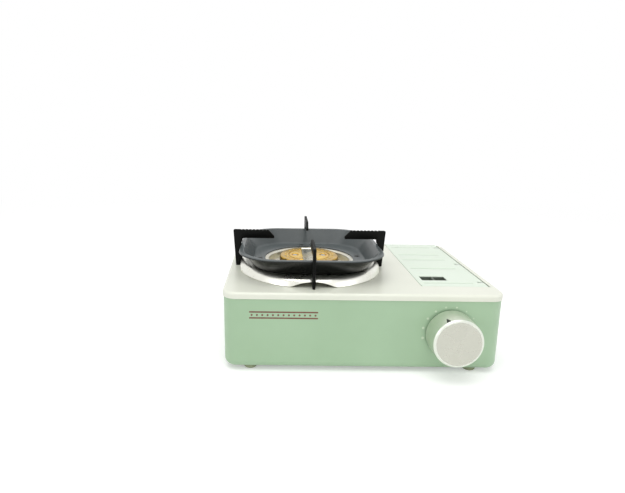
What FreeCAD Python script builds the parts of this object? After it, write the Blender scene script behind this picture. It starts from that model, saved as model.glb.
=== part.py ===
import FreeCAD, Part
import math
import os

# Compact butane cassette stove: a pressed tub, a pressed top plate, a lift-off trivet over a round
# burner on the left, and a cartridge bay on the right behind the gas knob.
# X runs to the right, Y to the back and Z up. All lengths are millimetres and all angles degrees.
# Pieces are drawn about the middle of the casing, with the ground at Z = 0.

# Casing
PLATE_W = 275.0
PLATE_D = 200.0
PLATE_CORNER_R = 14.0
PLATE_TOP_Z = 81.3
PLATE_T = 1.0
RIM_H = 6.3
RIM_EDGE_R = 2.5
BODY_INSET = 0.8
BODY_DRAFT = 0.83
BODY_WALL = 1.2
BODY_EDGE_R = 7.0
LIP_GAP = 0.25
LIP_DROP = 1.0
PARTING_GAP = 0.3
FLOOR_SLOT_W = 4.0
FLOOR_SLOT_L = 44.0
FLOOR_SLOT_PITCH = 13.0
FLOOR_SLOT_COUNT = 5
FLOOR_SLOT_OUT = 14.0
REAR_SLOT_W = 3.0
REAR_SLOT_H = 22.0
REAR_SLOT_PITCH = 10.0
REAR_SLOT_COUNT = 7
REAR_SLOT_Z = 50.5

# Feet
FOOT_H = 3.5
FOOT_R = 6.3
FOOT_STEM_R = 3.0
FOOT_HEAD_R = 4.4
FOOT_HEAD_H = 1.6
FOOT_CHAMFER = 0.9
FOOT_SIDE_IN = 27.5
FOOT_END_IN = 13.0

# Posts that join the plate to the floor of the tub, and the screws used all over the floor
POST_R = 3.5
POST_SIDE_IN = 15.5
POST_END_IN = 14.0
POST_CORNER_IN = 13.5
POST_TO_LID = 22.0
POST_THREAD_L = 10.0
SCREW_R = 1.5
SCREW_HEAD_R = 2.8
SCREW_HEAD_H = 1.6
SCREW_TAIL = 1.2

# Burner
BURNER_LEFT_IN = 89.5
BURNER_FRONT_IN = 94.4
BURNER_RISE = 13.0
PLATE_HOLE_R = 48.0
PLATE_COLLAR_H = 4.0
CAP_R = 33.5
CAP_H = 6.0
CAP_CHAMFER = 1.6
CAP_PORTS = 9
PORT_STEP = 14.0
PORT_W = 1.2
PORT_DEPTH = 4.0
PORT_H = 3.0
CAP_HOLE_R = 1.1
CAP_HOLE_RING_R = 26.8
CAP_GROOVE_R = 23.0
CAP_GROOVE_W = 1.4
CAP_GROOVE_D = 0.8
CAP_SINK_R = 4.0
CAP_SCREW_OUT = 16.0
SCREW_DOME_H = 1.2
LANE_W = 15.0
LANE_H = 3.2
HEAD_R = 34.5
HEAD_T = 2.0
GAS_HOLE_R = 3.6
GAS_HOLE_X = 16.8
GAS_HOLE_Y = 13.4
BOWL_R = 31.0
BOWL_DEPTH = 12.0
BOWL_WALL = 2.0
NECK_H = 6.0
THROAT_R = 12.0
THROAT_DROP = 1.2
TUBE_Z = 54.0
TUBE_R = 9.0
TUBE_WALL = 1.5
TUBE_BELL_R = 12.0
TUBE_BELL_L = 9.0
TUBE_TO_BRACKET = 3.5
SOCKET_WALL = 1.6
SOCKET_L = 22.0
STAND_W = 30.0
STAND_D = 22.0
ELECTRODE_ANGLE = -40.0
ELECTRODE_OUT = 6.1
ELECTRODE_R = 2.4
ELECTRODE_L = 22.0
ELECTRODE_GAP = 4.0
WIRE_R = 0.8
WIRE_RISE = 2.6
ELECTRODE_RISE = 2.0
ELECTRODE_SEAT_DROP = 9.0
ELECTRODE_SEAT_W = 10.0
ELECTRODE_SEAT_H = 5.5

# Trivet: drip pan, tray and four pan supports
PAN_R = 80.0
PAN_T = 0.6
PAN_LEAN = 3.0
PAN_EDGE_R = 7.0
PAN_FOOT_GAP = 0.3
PAN_COLLAR_R = 45.0
PAN_WELL_DROP = 9.8
PAN_HOLE_R = 36.0
PAN_LIP_H = 2.0
PAN_ELECTRODE_GAP = 0.8
ARCH_W = 46.0
ARCH_H = 6.0
TRAY_BASE_RISE = 9.0
TRAY_RIM_RISE = 27.0
TRAY_BASE_HALF = 62.0
TRAY_BASE_CORNER = 36.0
TRAY_RIM_HALF = 77.0
TRAY_RIM_CORNER = 42.0
TRAY_LIP_W = 3.5
TRAY_T = 0.8
TRAY_EDGE_R = 3.0
TRAY_HOLE_R = 50.0
SUPPORT_RISE = 41.7
SUPPORT_T = 2.8
SUPPORT_TOP_OUT = 9.5
SUPPORT_FOOT_OUT = 6.5
SUPPORT_RIM_IN = 0.8
SUPPORT_GAP = 0.3
SUPPORT_TIP_R = 40.0
SUPPORT_LEG_H = 2.7
ARM_H = 10.0
TIP_DROP = 7.0
TOOTH_W = 2.0
TOOTH_PITCH = 4.0
TOOTH_H = 0.8
TOOTH_COUNT = 8
TAB_W = 10.0
TAB_L = 7.0
TAB_T = 1.5
RIVET_R = 1.5
RIVET_HEAD_R = 2.8
RIVET_HEAD_H = 1.2

# Cartridge bay, cradle and heat shield
CAN_R = 33.5
CAN_RIGHT_IN = 41.5
CAN_Z = 41.5
CRADLE_GAP = 1.0
CRADLE_T = 0.8
CRADLE_TOP_Z = 70.0
CRADLE_TO_REG = 10.0
CRADLE_BACK_IN = 6.0
PORT_GAP = 1.3
SADDLE_W = 52.0
SADDLE_FRONT_IN = 20.0
SADDLE_BACK_IN = 30.0
SADDLE_TOP_DROP = 20.0
SADDLE_SCREW_X = 20.0
SHIELD_TO_CAN = 38.5
SHIELD_SCREW_FRONT_IN = 30.0
SHIELD_SCREW_BACK_IN = 20.0
SHIELD_T = 0.8
SHIELD_TOP_GAP = 4.0

# Lid over the bay
LID_LEFT_OUT = 34.0
LID_RIGHT_OUT = 35.0
LID_FRONT_IN = 26.0
LID_T = 1.0
LID_GAP = 0.5
LID_REST_GAP = 0.2
LID_SKIRT = 4.5
LID_CORNER_R = 4.0
LEDGE_W = 3.0
GROOVE_STEPS = (10.5, 61.5, 97.0, 119.5)
GROOVE_BACK_IN = 18.0
GROOVE_LEFT_IN = 4.5
GROOVE_RIGHT_IN = 12.5
GROOVE_W = 1.4
GROOVE_D = 0.5
BEAD_W = 3.0
GRIP_LEFT_IN = 6.0
GRIP_FRONT_IN = 19.0
GRIP_W = 26.5
GRIP_D = 13.3
GRIP_DEPTH = 5.0
GRIP_WALL = 0.8
GRIP_BAR_W = 1.8
HINGE_PIN_R = 1.5
HINGE_FIT = 0.05
PIN_END_L = 6.0
CURL_T = 0.85
CURL_FLAT = 1.2
EAR_STEPS = (14.0, 80.0)
EAR_BACK_IN = 18.0
EAR_T = 2.0
EAR_GAP = 0.4

# Regulator, socket and gas line
REG_LEFT_OUT = 22.0
REG_RIGHT_OUT = 16.0
REG_FRONT_IN = 14.0
REG_D = 20.0
REG_DOWN = 17.5
REG_UP = 18.5
REG_SEAT_W = 24.0
REG_SEAT_IN = 4.0
REG_EDGE_R = 2.5
REG_BOSS_R = 7.0
REG_BOSS_L = 3.5
BONNET_DOME_R = 7.5
BONNET_L = 8.0
BONNET_FLANGE = 2.0
BONNET_WALL = 1.4
DIAPHRAGM_T = 0.8
COLLAR_R = 27.0
COLLAR_BORE_R = 22.6
COLLAR_DEPTH = 5.0
MAGNET_T = 2.0
MAGNET_R = 20.5
MAGNET_BORE_R = 9.0
COLLAR_BACK = 1.0
NIPPLE_R = 6.5
NIPPLE_BORE_R = 2.2
SEAL_R = 4.2
SEAL_T = 1.6
PIPE_R = 2.5
PIPE_WALL = 0.6
PIPE_TO_SHIELD = 4.5
PIPE_BEND_R = 8.0
NUT_R = 5.0
NUT_L = 7.0
NOZZLE_R = 4.2
NOZZLE_NECK_R = 3.0
NOZZLE_TIP_R = 2.2
NOZZLE_TIP_IN = 3.0
NOZZLE_SHOULDER = 0.8
NOZZLE_BRACKET_BACK = 14.5
NOZZLE_BRACKET_W = 20.0
NOZZLE_BRACKET_RISE = 8.0
NOZZLE_SCREW_Y = 6.0
JET_R = 0.4

# Igniter
PIEZO_TO_KNOB = 22.5
PIEZO_L = 32.0
PIEZO_W = 9.0
PIEZO_H = 10.0
PIEZO_SEAT_W = 18.0
CAM_FRONT_IN = 8.0
CAM_T = 4.0
CAM_R = 8.0
CAM_RISE = 4.0
CAM_SWEEP = 110.0
CAM_GAP = 0.3
PLUNGER_R = 2.4
PLUNGER_DEPTH = 10.0
RUN_FIT = 0.05
LEAD_R = 1.2
LEAD_OUT = 20.0
LEAD_TURN_X = 12.0
LEAD_TURN_Y = 22.0

# Knob
KNOB_TO_CAN = 11.5
KNOB_RISE = 1.0
KNOB_R = 24.0
KNOB_PROUD = 24.0
KNOB_GAP = 1.1
KNOB_WALL = 2.0
KNOB_TAPER = 0.5
KNOB_EDGE = 1.3
KNOB_CAP_R = 21.3
KNOB_CAP_T = 1.0
KNOB_HUB_R = 5.5
PANEL_HOLE_R = 8.0
SPINDLE_R = 3.0
SPINDLE_FLAT = 2.2
SPINDLE_GRIP = 14.0
POINTER_ANGLE = 116.0
POINTER_W = 4.0
POINTER_L = 6.0
POINTER_DEPTH = 1.0

# Sheet brackets
BRACKET_T = 1.2
FLANGE_W = 8.0

X_DIR = FreeCAD.Vector(1, 0, 0)
Y_DIR = FreeCAD.Vector(0, 1, 0)
Z_DIR = FreeCAD.Vector(0, 0, 1)

LEFT = -PLATE_W / 2
RIGHT = PLATE_W / 2
FRONT = -PLATE_D / 2
BACK = PLATE_D / 2
FOOT_X = RIGHT - FOOT_SIDE_IN
FOOT_Y = BACK - FOOT_END_IN
BURNER_X = LEFT + BURNER_LEFT_IN
BURNER_Y = FRONT + BURNER_FRONT_IN
SOCKET_X = BURNER_X + SOCKET_L
SUPPORT_TOP_R = TRAY_RIM_HALF + SUPPORT_TOP_OUT
SUPPORT_FOOT_R = TRAY_RIM_HALF + SUPPORT_FOOT_OUT
SUPPORT_IN_R = TRAY_RIM_HALF - SUPPORT_RIM_IN
CAN_X = RIGHT - CAN_RIGHT_IN
LID_LEFT = CAN_X - LID_LEFT_OUT
LID_RIGHT = CAN_X + LID_RIGHT_OUT
LID_FRONT = FRONT + LID_FRONT_IN
GROOVE_YS = [LID_FRONT + step for step in GROOVE_STEPS] + [BACK - GROOVE_BACK_IN]
GROOVE_X0 = LID_LEFT + GROOVE_LEFT_IN
GROOVE_X1 = LID_RIGHT - GROOVE_RIGHT_IN
GRIP_X0 = LID_LEFT + GRIP_LEFT_IN
GRIP_X1 = GRIP_X0 + GRIP_W
GRIP_Y0 = LID_FRONT + GRIP_FRONT_IN
GRIP_Y1 = GRIP_Y0 + GRIP_D
EAR_YS = [LID_FRONT + step for step in EAR_STEPS] + [BACK - EAR_BACK_IN]
REG_X0 = CAN_X - REG_LEFT_OUT
REG_X1 = CAN_X + REG_RIGHT_OUT
REG_Y0 = FRONT + REG_FRONT_IN
REG_Y1 = REG_Y0 + REG_D
REG_Z0 = CAN_Z - REG_DOWN
REG_Z1 = CAN_Z + REG_UP
CRADLE_Y0 = REG_Y1 + CRADLE_TO_REG
CRADLE_Y1 = BACK - CRADLE_BACK_IN
SADDLE_YS = (CRADLE_Y0 + SADDLE_FRONT_IN, CRADLE_Y1 - SADDLE_BACK_IN)
SHIELD_X = CAN_X - SHIELD_TO_CAN
SHIELD_SCREW_YS = (CRADLE_Y0 + SHIELD_SCREW_FRONT_IN, CRADLE_Y1 - SHIELD_SCREW_BACK_IN)
PIPE_X = SHIELD_X - PIPE_TO_SHIELD
PIPE_Y = (REG_Y0 + REG_Y1) / 2
NOZZLE_BRACKET_X = PIPE_X - NOZZLE_BRACKET_BACK
TUBE_END_X = NOZZLE_BRACKET_X - TUBE_TO_BRACKET
KNOB_X = CAN_X - KNOB_TO_CAN
KNOB_Z = CAN_Z + KNOB_RISE
PIEZO_X1 = KNOB_X - PIEZO_TO_KNOB
PIEZO_X0 = PIEZO_X1 - PIEZO_L
CAM_Y = FRONT + CAM_FRONT_IN
POST_PLACES = ((LEFT + POST_SIDE_IN, FRONT + POST_END_IN), (LEFT + POST_SIDE_IN, BACK - POST_END_IN),
               (LID_LEFT - POST_TO_LID, BACK - POST_END_IN), (RIGHT - POST_CORNER_IN, FRONT + POST_CORNER_IN))

BURNER_AXIS = FreeCAD.Vector(BURNER_X, BURNER_Y, 0)
KNOB_AXIS = FreeCAD.Vector(KNOB_X, 0, KNOB_Z)
CAN_AXIS = FreeCAD.Vector(CAN_X, 0, CAN_Z)
ROW_SHIFT = FreeCAD.Vector(0, KNOB_PROUD / 2, 0)

PLATE_UNDER_Z = PLATE_TOP_Z - PLATE_T
PARTING_Z = PLATE_TOP_Z - RIM_H - PARTING_GAP
FLOOR_Z = FOOT_H + BODY_WALL
KNOB_FACE_Y = FRONT - KNOB_PROUD
CAP_Z = PLATE_TOP_Z + BURNER_RISE - CAP_H
HEAD_Z = CAP_Z - HEAD_T
TRAY_BASE_Z = PLATE_TOP_Z + TRAY_BASE_RISE
TRAY_RIM_Z = PLATE_TOP_Z + TRAY_RIM_RISE
DECK_UNDER_Z = TRAY_BASE_Z - PAN_T
WELL_Z = TRAY_BASE_Z - PAN_WELL_DROP
THROAT_Z = TUBE_Z - TUBE_R - RUN_FIT - SOCKET_WALL - THROAT_DROP
SUPPORT_TOP_Z = PLATE_TOP_Z + SUPPORT_RISE
TAB_R = (TRAY_HOLE_R + TRAY_BASE_HALF) / 2 - 0.5
LIP_TOP_Z = PLATE_UNDER_Z - LIP_DROP
HINGE_R = HINGE_PIN_R + HINGE_FIT + CURL_T
HINGE_X = LID_RIGHT - HINGE_R
HINGE_Z = PLATE_TOP_Z - HINGE_R
BONNET_R = (REG_Y1 - REG_Y0) / 2
SOCKET_FACE_Y = REG_Y1 + COLLAR_BACK + MAGNET_T + COLLAR_DEPTH


def vec(x, y, z):
    return FreeCAD.Vector(x, y, z)


def polar(radius, angle):
    turn = math.radians(angle)
    return vec(radius * math.cos(turn), radius * math.sin(turn), 0)


def block(x0, x1, y0, y1, z0, z1):
    return Part.makeBox(x1 - x0, y1 - y0, z1 - z0, vec(x0, y0, z0))


def rod(radius, start, end):
    along = end - start
    return Part.makeCylinder(radius, along.Length, start, along)


def pipe(outer_r, inner_r, start, end):
    return rod(outer_r, start, end).cut(rod(inner_r, start, end))


def flat(z):
    """Place for an outline that lies level at height z."""
    return lambda a, b: vec(a, b, z)


def outline(corners, place):
    """Closed wire through (a, b) or (a, b, radius) corners, which place puts in space."""
    arcs = []
    count = len(corners)
    for k, corner in enumerate(corners):
        here = vec(corner[0], corner[1], 0)
        back = vec(corners[k - 1][0], corners[k - 1][1], 0) - here
        ahead = vec(corners[(k + 1) % count][0], corners[(k + 1) % count][1], 0) - here
        back.normalize()
        ahead.normalize()
        radius = corner[2] if len(corner) > 2 else 0.0
        if radius == 0.0:
            arcs.append((here, here, here))
            continue
        half = back.getAngle(ahead) / 2
        middle = (back + ahead).normalize()
        trim = radius / math.tan(half)
        sag = radius / math.sin(half) - radius
        arcs.append((here + back * trim, here + middle * sag, here + ahead * trim))
    edges = []
    for k in range(count):
        start, middle, end = [place(p.x, p.y) for p in arcs[k]]
        if (end - start).Length > 1e-6:
            edges.append(Part.Arc(start, middle, end).toShape())
        following = place(arcs[(k + 1) % count][0].x, arcs[(k + 1) % count][0].y)
        if (following - end).Length > 1e-6:
            edges.append(Part.makeLine(end, following))
    return Part.Wire(edges)


def rounded_rect(half_x, half_y, corner_r, z, cx=0.0, cy=0.0):
    corners = [(cx + sx * half_x, cy + sy * half_y, corner_r)
               for sx, sy in ((1, -1), (1, 1), (-1, 1), (-1, -1))]
    return outline(corners, flat(z))


def prism(wire, rise):
    return Part.Face(wire).extrude(rise)


def turned(corners, base, axis, radial):
    """Solid of revolution whose corners are (radius, distance along the axis from base)."""
    wire = outline(corners, lambda r, h: base + radial * r + axis * h)
    solid = Part.Face(wire).revolve(base, axis, 360)
    if solid.Volume < 0:
        solid.reverse()
    return solid


def level_edges(shape, z):
    return [e for e in shape.Edges if e.BoundBox.ZMin > z - 0.01 and e.BoundBox.ZMax < z + 0.01]


def around_burner(shape, angle):
    turned_copy = shape.copy()
    turned_copy.rotate(BURNER_AXIS, Z_DIR, angle)
    return turned_copy


def bent_path(points, radii):
    """Wire of straight runs joined by tangent arcs, one radius for each inner point."""
    edges = []
    start = points[0]
    for k in range(1, len(points) - 1):
        back = (points[k - 1] - points[k]).normalize()
        ahead = (points[k + 1] - points[k]).normalize()
        half = back.getAngle(ahead) / 2
        trim = radii[k - 1] / math.tan(half)
        sag = radii[k - 1] / math.sin(half) - radii[k - 1]
        middle = points[k] + (back + ahead).normalize() * sag
        entry = points[k] + back * trim
        leave = points[k] + ahead * trim
        edges.append(Part.makeLine(start, entry))
        edges.append(Part.Arc(entry, middle, leave).toShape())
        start = leave
    edges.append(Part.makeLine(start, points[-1]))
    return Part.Wire(edges)


def swept(path, radius, start, along):
    ring = Part.Wire([Part.makeCircle(radius, start, along)])
    return path.makePipeShell([ring], True, False)


def body_half(span, z):
    """Half of the tub's outside width or depth at height z, with its draft."""
    return span / 2 - BODY_INSET - (PARTING_Z - z) * math.tan(math.radians(BODY_DRAFT))


def tub_wire(z, inset):
    corner = PLATE_CORNER_R - BODY_INSET - (PARTING_Z - z) * math.tan(math.radians(BODY_DRAFT)) - inset
    return rounded_rect(body_half(PLATE_W, z) - inset, body_half(PLATE_D, z) - inset, corner, z)


def tub_solid(bottom_z, inset, edge_r):
    solid = Part.makeLoft([tub_wire(bottom_z, inset), tub_wire(PARTING_Z, inset)], True, True)
    return solid.makeFillet(edge_r, level_edges(solid, bottom_z))


def lip_prism(inset, z0, z1):
    clear = PLATE_T + LIP_GAP + inset
    wire = rounded_rect(PLATE_W / 2 - clear, PLATE_D / 2 - clear, PLATE_CORNER_R - clear, z0)
    return prism(wire, Z_DIR * (z1 - z0))


def slot_tool(width, length, depth):
    """Round-ended slot along Y, standing on Z = 0 at the origin."""
    wire = rounded_rect(width / 2, length / 2, width / 2 - 0.001, 0)
    return prism(wire, Z_DIR * depth)


def bracket_screw_places():
    """Where the flanges of the brackets are screwed to the floor."""
    places = []
    for x0, x1, y0, y1, top in channel_sizes().values():
        middle = (y0 + y1) / 2
        places.append((x0 - FLANGE_W / 2, middle))
        places.append((x1 + FLANGE_W / 2, middle))
    for y in SHIELD_SCREW_YS:
        places.append((SHIELD_X - FLANGE_W / 2, y))
    for side in (-1, 1):
        places.append((NOZZLE_BRACKET_X - FLANGE_W / 2, BURNER_Y + side * NOZZLE_SCREW_Y))
        for y in SADDLE_YS:
            places.append((CAN_X + side * SADDLE_SCREW_X, y + FLANGE_W / 2))
    return places


def channel_sizes():
    """Left, right, front, back and top of each channel bracket that stands on the floor."""
    piezo_mid = (PIEZO_X0 + PIEZO_X1) / 2
    reg_mid = (REG_X0 + REG_X1) / 2
    return {
        "burner_stand": (BURNER_X - STAND_W / 2, BURNER_X + STAND_W / 2, BURNER_Y - STAND_D / 2,
                         BURNER_Y + STAND_D / 2, THROAT_Z),
        "piezo_bracket": (piezo_mid - PIEZO_SEAT_W / 2, piezo_mid + PIEZO_SEAT_W / 2, CAM_Y + 1.0,
                          CAM_Y + PIEZO_W, KNOB_Z - PIEZO_H / 2),
        "regulator_bracket": (reg_mid - REG_SEAT_W / 2, reg_mid + REG_SEAT_W / 2, REG_Y0 + REG_SEAT_IN,
                              REG_Y1 - REG_SEAT_IN, REG_Z0),
    }


def body_shell():
    """Deep-drawn tub with a joggled lip that goes up inside the plate's rim."""
    shell = tub_solid(FOOT_H, 0.0, BODY_EDGE_R)
    shell = shell.fuse(lip_prism(0.0, PARTING_Z, LIP_TOP_Z))
    shell = shell.cut(tub_solid(FLOOR_Z, BODY_WALL, BODY_EDGE_R - BODY_WALL))
    shell = shell.cut(lip_prism(BODY_WALL, PARTING_Z, LIP_TOP_Z))
    tools = [rod(PANEL_HOLE_R, vec(KNOB_X, 2 * FRONT, KNOB_Z), vec(KNOB_X, CAM_Y, KNOB_Z))]
    port_r = CAN_R + PORT_GAP
    rear_in = CRADLE_Y1 + 0.5
    tools.append(rod(port_r, vec(CAN_X, rear_in, CAN_Z), vec(CAN_X, PLATE_D, CAN_Z)))
    tools.append(block(CAN_X - port_r, CAN_X + port_r, rear_in, PLATE_D, CAN_Z, PLATE_TOP_Z))
    tools.append(block(LID_LEFT - LID_GAP, LID_RIGHT + LID_GAP, rear_in, PLATE_D, PARTING_Z, PLATE_TOP_Z))
    for k in range(FLOOR_SLOT_COUNT):
        x = BURNER_X + (k - (FLOOR_SLOT_COUNT - 1) / 2) * FLOOR_SLOT_PITCH
        for side in (-1, 1):
            y = BURNER_Y + side * (FLOOR_SLOT_L / 2 + FLOOR_SLOT_OUT)
            tools.append(block(x - FLOOR_SLOT_W / 2, x + FLOOR_SLOT_W / 2, y - FLOOR_SLOT_L / 2,
                               y + FLOOR_SLOT_L / 2, FOOT_H - 1, FLOOR_Z + 1))
    for k in range(REAR_SLOT_COUNT):
        slot = slot_tool(REAR_SLOT_W, REAR_SLOT_H, 20.0)
        slot.rotate(vec(0, 0, 0), X_DIR, 90)
        x = BURNER_X + (k - (REAR_SLOT_COUNT - 1) / 2) * REAR_SLOT_PITCH
        slot.translate(vec(x, BACK + 10, REAR_SLOT_Z))
        tools.append(slot)
    for sx in (-1, 1):
        for sy in (-1, 1):
            x, y = sx * FOOT_X, sy * FOOT_Y
            tools.append(rod(FOOT_STEM_R, vec(x, y, 0), vec(x, y, FLOOR_Z + 1)))
    for x, y in bracket_screw_places() + list(POST_PLACES):
        tools.append(rod(SCREW_R, vec(x, y, 0), vec(x, y, FLOOR_Z + 1)))
    return shell.cut(tools)


def top_plate():
    """Pressed plate with a rolled-down rim, a flanged burner hole and a ledge round the bay."""
    corner = PLATE_CORNER_R
    skin = prism(rounded_rect(PLATE_W / 2, PLATE_D / 2, corner, PLATE_TOP_Z - RIM_H), Z_DIR * RIM_H)
    skin = skin.makeFillet(RIM_EDGE_R, level_edges(skin, PLATE_TOP_Z))
    inner = prism(rounded_rect(PLATE_W / 2 - PLATE_T, PLATE_D / 2 - PLATE_T, corner - PLATE_T,
                               PLATE_TOP_Z - RIM_H), Z_DIR * (RIM_H - PLATE_T))
    inner = inner.makeFillet(RIM_EDGE_R - PLATE_T, level_edges(inner, PLATE_UNDER_Z))
    plate = skin.cut(inner)
    collar_bottom = BURNER_AXIS + Z_DIR * (PLATE_UNDER_Z - PLATE_COLLAR_H)
    plate = plate.fuse(rod(PLATE_HOLE_R + PLATE_T, collar_bottom, BURNER_AXIS + Z_DIR * PLATE_UNDER_Z))
    plate = plate.cut(rod(PLATE_HOLE_R, collar_bottom - Z_DIR, BURNER_AXIS + Z_DIR * (PLATE_TOP_Z + 1)))
    left = LID_LEFT - LID_GAP
    right = LID_RIGHT + LID_GAP
    front = LID_FRONT - LID_GAP
    back = BACK - PLATE_T
    ledge_z = PLATE_TOP_Z - LID_T - LID_REST_GAP
    plate = plate.cut(block(left, right, front, PLATE_D, PLATE_TOP_Z - RIM_H - 1, PLATE_TOP_Z + 1))
    ledge = block(left - PLATE_T, right, front - PLATE_T, back - LIP_GAP - BODY_WALL - 1.0,
                  ledge_z - PLATE_T, PLATE_TOP_Z)
    ledge = ledge.cut(block(left, right + 1, front, PLATE_D, ledge_z, PLATE_TOP_Z + 1))
    ledge = ledge.cut(block(left + LEDGE_W, right + 1, front + LEDGE_W, PLATE_D, 0, PLATE_TOP_Z))
    ledge = ledge.cut(block(HINGE_X - HINGE_R - 1.0, right + 1, front, PLATE_D, 0, PLATE_TOP_Z))
    return plate.fuse(ledge)


def foot():
    """Rubber foot, pushed up through the floor and held by its head."""
    corners = [(0, 0), (FOOT_R - FOOT_CHAMFER, 0), (FOOT_R, FOOT_CHAMFER), (FOOT_R, FOOT_H),
               (FOOT_STEM_R, FOOT_H), (FOOT_STEM_R, FLOOR_Z), (FOOT_HEAD_R, FLOOR_Z),
               (FOOT_HEAD_R - 1.0, FLOOR_Z + FOOT_HEAD_H), (0, FLOOR_Z + FOOT_HEAD_H)]
    return turned(corners, vec(0, 0, 0), Z_DIR, X_DIR)


def post():
    """Threaded post between the floor and the plate, at the origin."""
    body = rod(POST_R, vec(0, 0, FLOOR_Z), vec(0, 0, PLATE_UNDER_Z))
    return body.cut(rod(SCREW_R, vec(0, 0, FLOOR_Z), vec(0, 0, FLOOR_Z + POST_THREAD_L)))


def post_screw():
    """Pan-head screw that comes up through the floor into a post."""
    corners = [(0, FOOT_H - SCREW_HEAD_H), (SCREW_HEAD_R, FOOT_H - SCREW_HEAD_H), (SCREW_HEAD_R, FOOT_H),
               (SCREW_R, FOOT_H), (SCREW_R, FLOOR_Z + POST_THREAD_L - 1), (0, FLOOR_Z + POST_THREAD_L - 1)]
    return turned(corners, vec(0, 0, 0), Z_DIR, X_DIR)


def floor_screw():
    """Pan-head screw down through a bracket's flange and the floor."""
    top = FLOOR_Z + BRACKET_T
    corners = [(0, FOOT_H - SCREW_TAIL), (SCREW_R, FOOT_H - SCREW_TAIL), (SCREW_R, top), (SCREW_HEAD_R, top),
               (SCREW_HEAD_R, top + SCREW_HEAD_H), (0, top + SCREW_HEAD_H)]
    return turned(corners, vec(0, 0, 0), Z_DIR, X_DIR)


def channel(x0, x1, y0, y1, top):
    """Folded channel bracket: a level top, two legs and two floor flanges with screw holes."""
    shape = block(x0, x1, y0, y1, FLOOR_Z, top)
    shape = shape.cut(block(x0 + BRACKET_T, x1 - BRACKET_T, y0, y1, FLOOR_Z, top - BRACKET_T))
    for a, b in ((x0 - FLANGE_W, x0 + BRACKET_T), (x1 - BRACKET_T, x1 + FLANGE_W)):
        shape = shape.fuse(block(a, b, y0, y1, FLOOR_Z, FLOOR_Z + BRACKET_T))
    middle = (y0 + y1) / 2
    for x in (x0 - FLANGE_W / 2, x1 + FLANGE_W / 2):
        shape = shape.cut(rod(SCREW_R, vec(x, middle, 0), vec(x, middle, FLOOR_Z + 2 * BRACKET_T)))
    return shape.removeSplitter()


def heat_shield():
    """Upright sheet between the burner and the bay, with a screwed flange on the floor."""
    y0, y1 = CRADLE_Y0, CRADLE_Y1 - 6.0
    top = PLATE_UNDER_Z - SHIELD_TOP_GAP
    sheet = block(SHIELD_X, SHIELD_X + SHIELD_T, y0, y1, FLOOR_Z, top)
    flange = block(SHIELD_X - FLANGE_W, SHIELD_X + SHIELD_T, y0, y1, FLOOR_Z, FLOOR_Z + BRACKET_T)
    shield = sheet.fuse(flange)
    for y in SHIELD_SCREW_YS:
        x = SHIELD_X - FLANGE_W / 2
        shield = shield.cut(rod(SCREW_R, vec(x, y, 0), vec(x, y, FLOOR_Z + 2 * BRACKET_T)))
    return shield


def bay_cradle():
    """Sheet trough that the cartridge lies in."""
    inner = CAN_R + CRADLE_GAP
    outer = inner + CRADLE_T
    start, end = vec(CAN_X, CRADLE_Y0, CAN_Z), vec(CAN_X, CRADLE_Y1, CAN_Z)
    solid = rod(outer, start, end).fuse(
        block(CAN_X - outer, CAN_X + outer, CRADLE_Y0, CRADLE_Y1, CAN_Z, CRADLE_TOP_Z))
    space = rod(inner, start, end).fuse(
        block(CAN_X - inner, CAN_X + inner, CRADLE_Y0, CRADLE_Y1, CAN_Z, PLATE_TOP_Z))
    solid = solid.cut(space)
    return solid.cut(block(0, PLATE_W, CRADLE_Y0, CRADLE_Y1, CRADLE_TOP_Z, PLATE_TOP_Z + 9))


def cradle_saddles():
    """Two folded plates, screwed to the floor, that carry the trough."""
    outer = CAN_R + CRADLE_GAP + CRADLE_T
    trough = rod(outer, vec(CAN_X, -PLATE_D, CAN_Z), vec(CAN_X, PLATE_D, CAN_Z))
    saddles = []
    x0, x1 = CAN_X - SADDLE_W / 2, CAN_X + SADDLE_W / 2
    for y in SADDLE_YS:
        plate = block(x0, x1, y, y + BRACKET_T, FLOOR_Z, CAN_Z - SADDLE_TOP_DROP)
        flange = block(x0, x1, y, y + FLANGE_W, FLOOR_Z, FLOOR_Z + BRACKET_T)
        tools = [trough]
        for side in (-1, 1):
            place = vec(CAN_X + side * SADDLE_SCREW_X, y + FLANGE_W / 2, 0)
            tools.append(rod(SCREW_R, place, place + Z_DIR * (FLOOR_Z + 2 * BRACKET_T)))
        saddles.append(plate.fuse(flange).cut(tools))
    return Part.makeCompound(saddles)


def burner_bowl():
    """Cast bowl with a throat below it and a socket for the mixing tube."""
    inner_throat = THROAT_R - BOWL_WALL
    neck_z = HEAD_Z - BOWL_DEPTH - NECK_H
    corners = [(0, THROAT_Z), (THROAT_R, THROAT_Z), (THROAT_R, neck_z - 2.0),
               (BOWL_R - 3.0, HEAD_Z - BOWL_DEPTH, 4.0), (BOWL_R, HEAD_Z - 3.0), (HEAD_R - 1.0, HEAD_Z - 2.0),
               (HEAD_R - 1.0, HEAD_Z), (BOWL_R - BOWL_WALL, HEAD_Z),
               (BOWL_R - BOWL_WALL - 3.0, HEAD_Z - BOWL_DEPTH + BOWL_WALL),
               (inner_throat, neck_z + BOWL_WALL), (inner_throat, THROAT_Z + BOWL_WALL),
               (0, THROAT_Z + BOWL_WALL)]
    bowl = turned(corners, BURNER_AXIS, Z_DIR, X_DIR)
    start = vec(BURNER_X, BURNER_Y, TUBE_Z)
    end = vec(SOCKET_X, BURNER_Y, TUBE_Z)
    bowl = bowl.fuse(rod(TUBE_R + RUN_FIT + SOCKET_WALL, start, end))
    bowl = bowl.cut(rod(inner_throat, BURNER_AXIS + Z_DIR * (THROAT_Z + BOWL_WALL),
                        BURNER_AXIS + Z_DIR * neck_z))
    bowl = bowl.cut(rod(TUBE_R + RUN_FIT, start + X_DIR * (inner_throat - 2.0), end + X_DIR))
    return bowl


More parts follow.
